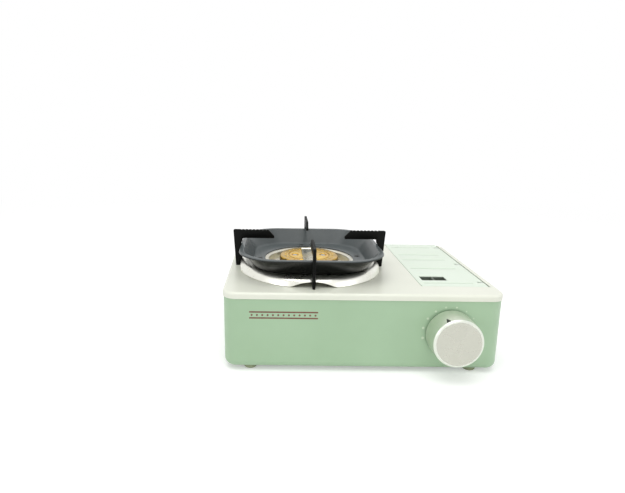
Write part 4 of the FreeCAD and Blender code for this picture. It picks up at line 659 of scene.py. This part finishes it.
# Gas line and cartridge socket
# A die-cast regulator with a plated bonnet over its rubber diaphragm, a cast collar with a ferrite
# ring magnet, brass seat and rubber seal for the cartridge, and a bent brass pipe to the nozzle.
fitting_brass = sheet_metal("fitting_brass", (214, 178, 96), (184, 146, 70), 0.30, (900.0, 900.0, 60.0))
ferrite = moulded("ferrite", (74, 74, 77), (60, 60, 63), 0.55, 0.5, 0.1, 700.0)
seal_rubber = moulded("seal_rubber", (34, 34, 34), (26, 26, 26), 0.6, 0.25)
dress(fitting_brass, "gas_pipe", "pipe_nut", "gas_nozzle", "socket_nipple")
dress(zinc_sheet, "regulator_bonnet")
dress(ferrite, "socket_magnet")
dress(seal_rubber, "socket_seal", "regulator_diaphragm")

# Igniter
# A black moulded piezo unit with a sprung plunger, a black cam on the knob's spindle that pushes it,
# and a lead in a red silicone sleeve that runs over the floor to the electrode.
black_plastic = moulded("black_plastic", (30, 31, 31), (22, 23, 23), 0.42, 0.3, 0.15)
lead_sleeve = moulded("lead_sleeve", (168, 42, 34), (140, 32, 27), 0.5, 0.15, 0.1)
spindle_steel = sheet_metal("spindle_steel", (206, 206, 202), (176, 176, 174), 0.25, (900.0, 60.0, 900.0))
dress(black_plastic, "piezo_unit", "piezo_plunger", "igniter_cam")
dress(lead_sleeve, "igniter_lead")
dress(spindle_steel, "valve_spindle")

# Top plate
# The upper casing: pressed steel in satin cream paint, its rim rolled down over the tub's lip, with
# a flanged hole for the burner and a ledge round the cartridge bay that the lid lies on.
cream_paint = painted("cream_paint", (236, 238, 224), (229, 232, 217), 0.40, 0.10, 0.0005, (240, 241, 230))
dress(cream_paint, "top_plate")

# Drip pan
# Spun and polished stainless steel: a well round the burner that catches spills, a deck riveted under
# the tray, and a round shoulder with a low skirt that stands on the plate. The skirt is arched and
# slotted where each pan support goes through, and the well has a keyhole for the spark electrode.
PAN_R = 80.0
PAN_SHOULDER_R = 77.0
PAN_EDGE_R = 7.0
PAN_FOOT_Z = 81.6
PAN_DECK_Z = 90.3
PAN_COLLAR_R = 45.0
PAN_BEND_R = 2.0
PAN_WELL_Z = 80.5
PAN_LIP_R = 36.6
PAN_LIP_Z = 82.5
PAN_T = 0.6
PAN_ARCH_W = 46.0
PAN_ARCH_H = 6.0
PAN_PLATE_Z = 81.3
PAN_SLOT_HALF = 1.7
PAN_SLOT_IN_R = 75.9
KEYHOLE_TURN = -40.0
KEYHOLE_OUT_R = 40.6
KEYHOLE_HALF = 3.2
PAN_STEPS = 44
arch_r = ((PAN_ARCH_W / 2) ** 2 + PAN_ARCH_H ** 2) / (2 * PAN_ARCH_H)
slot_turn = math.degrees(math.asin(PAN_SLOT_HALF / PAN_SHOULDER_R))
keyhole_turn = math.degrees(math.asin(KEYHOLE_HALF / KEYHOLE_OUT_R))
shoulder_line = filleted([(PAN_COLLAR_R, PAN_DECK_Z), (PAN_SHOULDER_R, PAN_DECK_Z, PAN_EDGE_R),
                          (PAN_R, PAN_FOOT_Z)], 16, closed=False)[1:]
collar_line = filleted([(PAN_COLLAR_R + 12.0, PAN_DECK_Z), (PAN_COLLAR_R, PAN_DECK_Z, PAN_BEND_R),
                        (PAN_COLLAR_R, PAN_WELL_Z + PAN_BEND_R + 1.0)], 6, closed=False)
well_line = filleted([collar_line[-1], (PAN_COLLAR_R, PAN_WELL_Z, PAN_BEND_R), (PAN_LIP_R, PAN_WELL_Z)], 8,
                     closed=False)
lip_line = filleted([(KEYHOLE_OUT_R, PAN_WELL_Z), (PAN_LIP_R, PAN_WELL_Z, 0.5), (PAN_LIP_R, PAN_LIP_Z)], 3,
                    closed=False)[1:]


def stretch_of(line, ends, steps):
    """Even steps along a line, from its start to where ends first holds."""
    kept = [line[0]]
    for after in line[1:]:
        if ends(after):
            before = kept[-1]
            for _ in range(24):
                middle = (before + after) / 2
                before, after = (before, middle) if ends(middle) else (middle, after)
            kept.append(before)
            break
        kept.append(after)
    marks = [0.0]
    for before, after in zip(kept, kept[1:]):
        marks.append(marks[-1] + (after - before).length)
    points = []
    for step in range(steps + 1):
        goal = marks[-1] * step / steps
        k = next(k for k in range(len(kept) - 1) if goal <= marks[k + 1] + 1e-9)
        points.append(kept[k].lerp(kept[k + 1], (goal - marks[k]) / (marks[k + 1] - marks[k])))
    return points


def pan_foot_z(turn):
    """How high the skirt's foot is at that angle: up in an arch over each pan support."""
    off = PAN_R * math.sin(math.radians((turn + 45.0) % 90.0 - 45.0))
    if abs(off) >= PAN_ARCH_W / 2:
        return PAN_FOOT_Z
    return max(PAN_FOOT_Z, PAN_PLATE_Z + PAN_ARCH_H - arch_r + math.sqrt(arch_r ** 2 - off ** 2))


def keyhole_r(off):
    """How far out the well's floor is cut at that angle from the keyhole's middle."""
    if abs(off) > keyhole_turn:
        return KEYHOLE_OUT_R
    across = KEYHOLE_OUT_R * math.sin(math.radians(off))
    return KEYHOLE_OUT_R * math.cos(math.radians(off)) + math.sqrt(max(0.0, KEYHOLE_HALF ** 2 - across ** 2))


def from_keyhole(turn):
    """The angle from the keyhole's middle to that turn, between -180 and 180."""
    return (turn - KEYHOLE_TURN + 180.0) % 360.0 - 180.0


def from_burner(x, y, z):
    """A point in metres, from its millimetres off the burner's axis and its height."""
    return Vector((BURNER_X + x, BURNER_Y + y, z)) * MM


turns = [KEYHOLE_TURN + keyhole_turn * k / 5 for k in range(-5, 6)]
for quarter in range(4):
    slot_end = quarter * 90.0 + slot_turn
    turns += [quarter * 90.0 - slot_turn, slot_end]
    between = [slot_end + (90.0 - 2 * slot_turn) * k / PAN_STEPS for k in range(1, PAN_STEPS)]
    turns += [turn for turn in between if abs(from_keyhole(turn)) > keyhole_turn + 0.5]
turns = sorted(turn % 360.0 for turn in turns)
to_slot = stretch_of(shoulder_line, lambda p: p.x > PAN_SLOT_IN_R, 5)
past_slot = to_slot[-1:] + [p for p in shoulder_line if p.x > PAN_SLOT_IN_R]
pan_shape = bmesh.new()
pan_columns = []
for turn in turns:
    off = from_keyhole(turn)
    foot_z = pan_foot_z(turn)
    well_end = keyhole_r(off)
    skirt = stretch_of(past_slot, lambda p: p.y < foot_z, 12)
    well = stretch_of(well_line, lambda p: p.x < well_end, 9)
    line = skirt[::-1] + to_slot[-2::-1] + collar_line + well[1:]
    angles = [turn] * len(line)
    if abs(off) > keyhole_turn - 1e-4:
        line += lip_line
        beside = abs(off) < keyhole_turn + 1e-4
        for point in lip_line:
            aside = math.degrees(math.asin(KEYHOLE_HALF / point.x))
            angles.append(KEYHOLE_TURN + math.copysign(aside, off) if beside else turn)
    pan_columns.append([pan_shape.verts.new(from_burner(p.x * math.cos(math.radians(angle)),
                                                        p.x * math.sin(math.radians(angle)), p.y))
                        for p, angle in zip(line, angles)])
for k, column in enumerate(pan_columns):
    following = pan_columns[(k + 1) % len(pan_columns)]
    slotted = abs((turns[(k + 1) % len(turns)] - turns[k]) % 360.0 - 2 * slot_turn) < 1e-6
    first_row = len(skirt) - 1 if slotted else 0
    for row in range(first_row, min(len(column), len(following)) - 1):
        pan_shape.faces.new((column[row], following[row], following[row + 1], column[row + 1]))


def walled(name, shape, thickness, edge_round, material, offset=-1.0):
    """Gives a surface its sheet thickness and rounds the cut edges, as one plain mesh."""
    bmesh.ops.remove_doubles(shape, verts=shape.verts, dist=1e-6)
    holder = link_new(name + "_skin", as_mesh(name + "_skin", shape, material))
    wall = holder.modifiers.new("wall", "SOLIDIFY")
    wall.thickness = thickness * MM
    wall.offset = offset
    wall.use_even_offset = True
    edges = holder.modifiers.new("edges", "BEVEL")
    edges.width = edge_round * MM
    edges.segments = 2
    edges.limit_method = "ANGLE"
    edges.angle_limit = math.radians(50.0)
    mesh = bpy.data.meshes.new_from_object(holder.evaluated_get(bpy.context.evaluated_depsgraph_get()))
    mesh.name = name
    bpy.data.objects.remove(holder)
    return mesh


polished = warmed("polished_stainless", (244, 244, 236), (230, 230, 219), (214, 200, 166), 0.24, 0.15,
                  near=40.0, far=56.0, grain=300.0)
pan_mesh = walled("drip_pan_spun", pan_shape, PAN_T, 0.15, polished)
shown("drip_pan_spun", pan_mesh, "trivet", "polished_stainless", ["drip_pan"])

# Tray
# A square dish pressed from sheet steel, with flared walls, wide corners, a round opening and a rim
# rolled over at its edge, in glossy black vitreous enamel.
TRAY_BASE_Z = 90.3
TRAY_RIM_Z = 108.3
TRAY_BASE_HALF = 62.0
TRAY_BASE_CORNER = 36.0
TRAY_RIM_HALF = 77.0
TRAY_RIM_CORNER = 42.0
TRAY_LIP_W = 3.5
TRAY_T = 0.8
TRAY_HOLE_R = 50.0
TRAY_LIP_TURN = 1.9
TRAY_CORNER_STEPS = 12


def tray_ring(half, corner, z):
    """Points of a rounded square about the burner; a corner as large as its half is a circle."""
    ring = []
    for quarter, (sx, sy) in enumerate(((1, 1), (-1, 1), (-1, -1), (1, -1))):
        for k in range(TRAY_CORNER_STEPS + 1):
            turn = math.radians(90 * quarter + 90 * k / TRAY_CORNER_STEPS)
            ring.append(from_burner(sx * (half - corner) + corner * math.cos(turn),
                                    sy * (half - corner) + corner * math.sin(turn), z))
    return ring


def lofted(rings):
    """A surface through rings of equally many points."""
    shape = bmesh.new()
    loops = [[shape.verts.new(p) for p in ring] for ring in rings]
    for low, high in zip(loops, loops[1:]):
        for k, vert in enumerate(low):
            after = (k + 1) % len(low)
            shape.faces.new((vert, low[after], high[after], high[k]))
    return shape


floor_top_z = TRAY_BASE_Z + TRAY_T
wall_top_half = TRAY_RIM_HALF - TRAY_LIP_W - TRAY_T
wall_lean = (TRAY_RIM_HALF - TRAY_LIP_W - TRAY_BASE_HALF) / (TRAY_RIM_Z - TRAY_BASE_Z)
wall_foot_half = wall_top_half - wall_lean * (TRAY_RIM_Z - floor_top_z)
tray_line = filleted([(TRAY_HOLE_R, floor_top_z), (wall_foot_half, floor_top_z, 4.2),
                      (wall_top_half, TRAY_RIM_Z, 1.2), (TRAY_RIM_HALF, TRAY_RIM_Z, 1.1),
                      (TRAY_RIM_HALF, TRAY_RIM_Z - TRAY_LIP_TURN)], 7, closed=False)
corner_gain = (TRAY_RIM_CORNER - TRAY_BASE_CORNER) / (TRAY_RIM_HALF - TRAY_BASE_HALF)
tray_rings = []
for half, z in tray_line:
    corner = TRAY_BASE_CORNER + (half - TRAY_BASE_HALF) * corner_gain
    tray_rings.append(tray_ring(half, half if half < TRAY_HOLE_R + 1 else corner, z))


def enamelled(name, colour, shade, sheen_colour, gloss, level):
    """Vitreous enamel: a glassy, slightly wavy skin, with a painted sheen: faces that point up turn towards a
    lighter grey.
    """
    material, tree, shader = new_finish(name, {"Specular IOR Level": level})
    edge, surface = skinned(tree, 0.0005, 420.0, 18.0)
    normal = put(tree, "ShaderNodeNewGeometry").outputs["Normal"]
    upward = put(tree, "ShaderNodeSeparateXYZ", {0: normal}).outputs[2]
    # Painted sheen: the more a face points up, the more its colour turns to the lighter grey.
    painted_sheen = sums(tree, "MULTIPLY", ranged(tree, upward, -0.1, 0.75, 0.0, 0.85),
                ranged(tree, surface["Tone"], 0.0, 1.0, 0.75, 1.0))
    sheened = mixed(tree, painted_sheen, toned(tree, surface, shade, colour), ink(*sheen_colour))
    feed(tree, shader, {"Base Color": rubbed(tree, edge, 0.35, sheened, (100, 100, 96)),
                        "Normal": bumped(tree, surface["Dimples"], 0.14, 0.0002, edge),
                        "Roughness": ranged(tree, surface["Tone"], 0.0, 1.0, gloss + 0.06, gloss)})
    return material


# The third colour is a painted sheen: the grey that the tray's faces pointing up are turned towards.
black_enamel = enamelled("black_enamel", (22, 24, 21), (16, 18, 16), (100, 107, 108), 0.20, 0.25)
tray_mesh = walled("tray_pressed", lofted(tray_rings), TRAY_T, 0.2, black_enamel, offset=1.0)
shown("tray_pressed", tray_mesh, "trivet", "black_enamel", ["support_tray"])

# Pan supports
# Four plates stamped from thick steel and enamelled black: a toothed arm that the pan stands on, a
# post outside the tray with a notch for its rim, and a foot on the plate. A tab on each is riveted
# under the pan's deck.
SUPPORT_T = 2.8
SUPPORT_TOP_Z = 123.0
SUPPORT_FOOT_Z = 81.3
SUPPORT_TOP_R = 86.5
SUPPORT_FOOT_R = 83.5
SUPPORT_IN_R = 76.2
SUPPORT_TIP_R = 40.0
SUPPORT_ARM_H = 10.0
TOOTH_COUNT = 8
TOOTH_PITCH = 4.0
TOOTH_W = 2.0
TOOTH_H = 0.8
TAB_R = 55.5
TAB_HALF = 3.5
TAB_W = 10.0
TAB_T = 1.5
PAN_DECK_UNDER_Z = PAN_DECK_Z - PAN_T
NOTCH_CLEAR = 0.2
# The third colour is a painted sheen: the grey that the supports' faces pointing up are turned towards.
support_enamel = enamelled("support_enamel", (14, 15, 13), (11, 12, 11), (34, 36, 34), 0.38, 0.08)
first_tooth = SUPPORT_IN_R + 2.0
last_tooth = first_tooth - (TOOTH_COUNT - 1) * TOOTH_PITCH - TOOTH_W
arm_under = SUPPORT_TOP_Z - SUPPORT_ARM_H
notch_r = TRAY_RIM_HALF + 0.3
notch_top = TRAY_RIM_Z + NOTCH_CLEAR
notch_foot = TRAY_RIM_Z - TRAY_LIP_TURN - NOTCH_CLEAR
web_top = SUPPORT_FOOT_Z + 2.7
support_corners = [(SUPPORT_FOOT_R, SUPPORT_FOOT_Z, 0.6), (SUPPORT_TOP_R, SUPPORT_TOP_Z, 1.5)]
for k in range(TOOTH_COUNT):
    r = first_tooth - k * TOOTH_PITCH
    support_corners += [(r, SUPPORT_TOP_Z), (r - TOOTH_W / 2, SUPPORT_TOP_Z - TOOTH_H),
                        (r - TOOTH_W, SUPPORT_TOP_Z)]
support_corners += [
    (last_tooth - 1.5, SUPPORT_TOP_Z, 1.0), (SUPPORT_TIP_R, SUPPORT_TOP_Z - 7.0, 1.0),
    (SUPPORT_TIP_R, arm_under, 1.0), (SUPPORT_IN_R, arm_under, 2.0), (SUPPORT_IN_R, notch_top),
    (notch_r, notch_top), (notch_r, notch_foot), (SUPPORT_IN_R, notch_foot), (SUPPORT_IN_R, web_top, 1.0),
    (TAB_R + TAB_HALF, web_top, 1.0), (TAB_R + TAB_HALF, PAN_DECK_UNDER_Z),
    (TAB_R - TAB_HALF, PAN_DECK_UNDER_Z), (TAB_R - TAB_HALF, SUPPORT_FOOT_Z)]
support_line = filleted(support_corners, 4)
tab_end = SUPPORT_T / 2 + TAB_W
tab_line = filleted([(TAB_R - TAB_HALF, 0.0), (TAB_R + TAB_HALF, 0.0), (TAB_R + TAB_HALF, tab_end, 2.0),
                     (TAB_R - TAB_HALF, tab_end, 2.0)], 5)


def rounded_edges(shape, width):
    """Rounds a solid's sharp edges, as tumbling does to a stamped piece."""
    sharp = [e for e in shape.edges if len(e.link_faces) == 2 and e.calc_face_angle() > math.radians(40.0)]
    bmesh.ops.bevel(shape, geom=sharp, offset=width * MM, offset_type="OFFSET", segments=2, profile=0.5,
                    affect="EDGES", clamp_overlap=True)


for side, turn in (("right", 0), ("back", 90), ("left", 180), ("front", 270)):
    plate = drawn_out(support_line, lambda r, z: from_burner(r, -SUPPORT_T / 2, z),
                      Vector((0, SUPPORT_T, 0)) * MM)
    rounded_edges(plate, 0.35)
    tab = drawn_out(tab_line, lambda r, y: from_burner(r, y, PAN_DECK_UNDER_Z - TAB_T),
                    Vector((0, 0, TAB_T)) * MM)
    tab_mesh = as_mesh("tab", tab, support_enamel)
    plate.from_mesh(tab_mesh)
    bpy.data.meshes.remove(tab_mesh)
    bmesh.ops.rotate(plate, verts=plate.verts, cent=from_burner(0, 0, 0),
                     matrix=Matrix.Rotation(math.radians(turn), 3, "Z"))
    node = "pan_support_" + side
    stamped = as_mesh(node + "_stamped", plate, support_enamel)
    shown(node + "_stamped", stamped, "trivet", "black_enamel", [node])

# Rivets
# Four blackened steel rivets with domed heads, through the tray, the pan's deck and each support's
# tab. They are upset after enamelling, so the finish on their crowns is a little rubbed.
RIVET_R = 1.5
RIVET_HEAD_R = 2.8
RIVET_HEAD_H = 1.2
RIVET_SIDES = 28
rivets, given, made = new_growth("domed_rivets", {
    "Head Radius": "Float", "Head Height": "Float", "Shank Radius": "Float", "Grip": "Float",
    "Finish": "Material"})
ball = put(rivets, "GeometryNodeMeshUVSphere", {"Segments": RIVET_SIDES, "Rings": RIVET_SIDES // 2,
                                                "Radius": 1.0})
where = put(rivets, "GeometryNodeInputPosition").outputs[0]
height = put(rivets, "ShaderNodeSeparateXYZ", {0: where}).outputs[2]
under = put(rivets, "FunctionNodeCompare", {0: height, 1: -0.001}, data_type="FLOAT", operation="LESS_THAN")
cap_only = put(rivets, "GeometryNodeDeleteGeometry",
               {"Geometry": ball.outputs[0], "Selection": under.outputs[0]}, domain="POINT")
seat = put(rivets, "GeometryNodeMeshCircle", {"Vertices": RIVET_SIDES, "Radius": given["Head Radius"]},
           fill_type="NGON")
stem = put(rivets, "GeometryNodeMeshCylinder", {"Vertices": 20, "Radius": given["Shank Radius"],
                                                "Depth": given["Grip"]})
stretch = arrow(rivets, given["Head Radius"], given["Head Radius"], given["Head Height"])
half_grip = sums(rivets, "MULTIPLY", given["Grip"], 0.5)
pieces = []
for flip, sign in ((0.0, 1.0), (math.pi, -1.0)):
    move = arrow(rivets, z=sums(rivets, "MULTIPLY", half_grip, sign))
    head = put(rivets, "GeometryNodeTransform", {"Geometry": cap_only.outputs[0], "Rotation": (flip, 0, 0),
                                                 "Scale": stretch, "Translation": move})
    seated = put(rivets, "GeometryNodeTransform", {"Geometry": seat.outputs[0], "Translation": move,
                                                   "Rotation": (math.pi - flip, 0, 0)})
    pieces += [head.outputs[0], seated.outputs[0]]
rivet = joined(rivets, *pieces, stem.outputs["Mesh"])
whole = put(rivets, "GeometryNodeMergeByDistance", {"Geometry": rivet, "Distance": 0.000001})
planted(rivets, given, made, whole.outputs[0])
blackened_steel = sheet_metal("blackened_steel", (84, 86, 84), (62, 64, 63), 0.36, (900.0, 900.0, 60.0))
rivet_low = PAN_DECK_UNDER_Z - TAB_T
rivet_high = TRAY_BASE_Z + TRAY_T
rivet_places = solid_centres("trivet_rivets", (rivet_low + rivet_high) / 2 * MM)
rivet_row = grown("trivet_rivets_domed", rivet_places, rivets,
                  {"Head Radius": RIVET_HEAD_R * MM, "Head Height": RIVET_HEAD_H * MM,
                   "Shank Radius": RIVET_R * MM, "Grip": (rivet_high - rivet_low) * MM,
                   "Finish": blackened_steel})
shown("trivet_rivets_domed", rivet_row, "trivet", "stainless", ["trivet_rivets"])

# Cartridge lid
# Pressed from one sheet and painted with the plate: five soft grooves stiffen it, a window takes the
# finger cup, the rear edge turns down, and the right edge is curled round the hinge pin, with gaps
# for the ears.
LID_LEFT = 62.0
LID_FRONT = -62.0
LID_BACK = 112.0
LID_TOP_Z = 81.3
LID_CORNER = 4.0
LID_T = 1.0
LID_SKIRT = 4.5
HINGE_X = 128.6
HINGE_Z = 78.9
CURL_R = 2.4
EAR_YS = (-48.0, 18.0, 94.0)
EAR_CLEAR = 1.4
GROOVE_YS = (-51.5, -0.5, 35.0, 57.5, 94.0)
GROOVE_X = (66.5, 118.5)
GROOVE_HALF = 1.3
GROOVE_D = 0.55
WINDOW_X = (68.0, 94.5)
WINDOW_Y = (-43.0, -29.7)
CURL_STEPS = 20
CURL_FLAT = 1.2
CURL_TURN = 285.0
REAR_BEND_R = 1.5
CORNER_STEPS = (0.0, 0.25, 0.6, 1.2, 2.2, 3.2, 4.0)
GROOVE_ENDS = (0.0, 0.75, 1.5)
LID_COLUMNS = (72.0, 76.0, 80.0, 85.0, 90.0, 100.0, 106.0, 112.0, 123.6)
LID_ROWS = (-36.0, -20.0, -10.0, 8.0, 26.0, 46.0, 68.0, 78.0, 86.0, 104.0, 110.5)
flat_turn = math.atan2(CURL_R, CURL_FLAT)


def curl_radius(turn):
    """The curl's radius at an angle: the sheet stays flat a little past the pin before it turns down."""
    if turn > flat_turn:
        return CURL_R / math.sin(turn)
    share = max(0.0, 1.0 - (flat_turn - turn) / math.radians(25.0))
    return CURL_R + (math.hypot(CURL_R, CURL_FLAT) - CURL_R) * share


def groove_depth(x, y):
    """How far a pressed groove sinks the lid at a point."""
    depth = 0.0
    for groove_y in GROOVE_YS:
        across = abs(y - groove_y) / GROOVE_HALF
        inside = min(x - GROOVE_X[0], GROOVE_X[1] - x) / GROOVE_HALF
        if across < 1.0 and inside > 0.0:
            run = min(1.0, inside)
            depth = GROOVE_D * (0.5 + 0.5 * math.cos(math.pi * across)) * math.sin(run * math.pi / 2)
    return depth


lid_xs = sorted({*(LID_LEFT + x for x in CORNER_STEPS), *WINDOW_X, *LID_COLUMNS,
                 *(GROOVE_X[0] + x for x in GROOVE_ENDS), *(GROOVE_X[1] - x for x in GROOVE_ENDS)})
lid_ys = [LID_FRONT + y for y in CORNER_STEPS] + [*WINDOW_Y, *LID_ROWS]
for y in GROOVE_YS:
    lid_ys += [y + GROOVE_HALF * k / 4 for k in range(-4, 5)]
for y in EAR_YS:
    lid_ys += [y - EAR_CLEAR, y + EAR_CLEAR]
lid_ys = sorted(set(round(y, 4) for y in lid_ys))
lid_shape = bmesh.new()
# Each point keeps how deep it sits in a groove, as the share of painted shade there.
groove_shade_share = lid_shape.verts.layers.float.new("groove")
lid_rows = []
rear_drop = [(LID_BACK - REAR_BEND_R + REAR_BEND_R * math.sin(a), -REAR_BEND_R + REAR_BEND_R * math.cos(a))
             for a in [math.pi / 2 * k / 5 for k in range(1, 6)]] + [(LID_BACK, -LID_SKIRT)]
for y, drop in [(y, 0.0) for y in lid_ys] + rear_drop:
    row = []
    into_corner = max(0.0, LID_CORNER - (y - LID_FRONT))
    left = LID_LEFT + LID_CORNER - math.sqrt(max(0.0, LID_CORNER ** 2 - into_corner ** 2))
    for x in lid_xs:
        share = min(1.0, (x - LID_LEFT) / LID_CORNER)
        placed_x = x if x >= LID_LEFT + LID_CORNER else left + share * (LID_LEFT + LID_CORNER - left)
        sunk = groove_depth(x, y) if drop == 0.0 else 0.0
        row.append(lid_shape.verts.new(Vector((placed_x, y, LID_TOP_Z + drop - sunk)) * MM))
        row[-1][groove_shade_share] = sunk / GROOVE_D
    for k in range(CURL_STEPS + 1):
        around = math.radians(90.0 - CURL_TURN * k / CURL_STEPS)
        reach = curl_radius(around) if around > 0.0 else CURL_R
        row.append(lid_shape.verts.new(Vector((HINGE_X + reach * math.cos(around), y,
                                               HINGE_Z + reach * math.sin(around) + drop)) * MM))
    lid_rows.append(row)
for j, (row, after) in enumerate(zip(lid_rows, lid_rows[1:])):
    y_mid = (row[0].co.y + after[0].co.y) / 2 / MM
    beside_window = WINDOW_Y[0] < y_mid < WINDOW_Y[1]
    no_curl = j >= len(lid_ys) - 1 or any(abs(y_mid - y) < EAR_CLEAR for y in EAR_YS)
    for k in range(len(row) - 1):
        x_mid = (row[k].co.x + row[k + 1].co.x) / 2 / MM
        in_window = beside_window and WINDOW_X[0] < x_mid < WINDOW_X[1]
        if not in_window and not (no_curl and k >= len(lid_xs) - 1):
            lid_shape.faces.new((row[k], row[k + 1], after[k + 1], after[k]))
bmesh.ops.delete(lid_shape, geom=[v for v in lid_shape.verts if not v.link_faces], context="VERTS")
# The last colour is painted shade, laid in the pressed grooves.
lid_paint = painted("lid_paint", (229, 241, 225), (223, 236, 219), 0.40, 0.10, 0.0005, (238, 244, 233),
                    (178, 192, 172))
lid_mesh = walled("cartridge_lid_pressed", lid_shape, LID_T - 0.15, 0.25, lid_paint)
shown("cartridge_lid_pressed", lid_mesh, "lid", "lid_paint", ["cartridge_lid"])
grip_plastic = moulded("grip_plastic", (104, 112, 100), (92, 100, 90), 0.5, 0.3, 0.2)
dress(grip_plastic, "lid_grip")
dress(spindle_steel, "hinge_pin")

# Knob
# A turned aluminium cup, satin on its side, with a bright chamfer, a spun and brushed disc set in
# its face and a black moulded pointer let into its side. It is pushed on the spindle's flat.
def spun(name, bright, dull, roughness, anisotropy, metallic, fine):
    """Spun aluminium: fine rings about the knob's axis, which pull highlights on its face into wedges."""
    material, tree, shader = new_finish(name, {"Metallic": metallic, "Anisotropic": anisotropy})
    edge, surface = skinned(tree, 0.0006, 1500.0, 70.0)
    axis = (KNOB_X * MM, 0.0, KNOB_Z * MM)
    outward, _, rings = lathe_lines(tree, axis, (1.0, 0.0, 1.0), fine, 3.0)
    base = mixed(tree, ranged(tree, rings, 0.3, 0.7, 0.0, 1.0), ink(*dull), ink(*bright))
    feed(tree, shader, {"Base Color": rubbed(tree, edge, 0.8, base, (246, 246, 238)),
                        "Normal": bumped(tree, rings, 0.10, 0.00005, edge),
                        "Roughness": sums(tree, "MULTIPLY_ADD", surface["Tone"], 0.06, roughness)})
    if anisotropy:
        feed(tree, shader, {"Tangent": arrows(tree, "NORMALIZE", outward)})
    return material

knob_side = spun("knob_side", (230, 234, 224), (216, 222, 208), 0.36, 0.0, 0.85, 1500.0)
knob_face = spun("knob_face", (204, 204, 192), (186, 187, 176), 0.24, 0.85, 1.0, 4200.0)
dress(knob_side, "knob_shell")
dress(knob_face, "knob_cap")
dress(black_plastic, "knob_pointer")
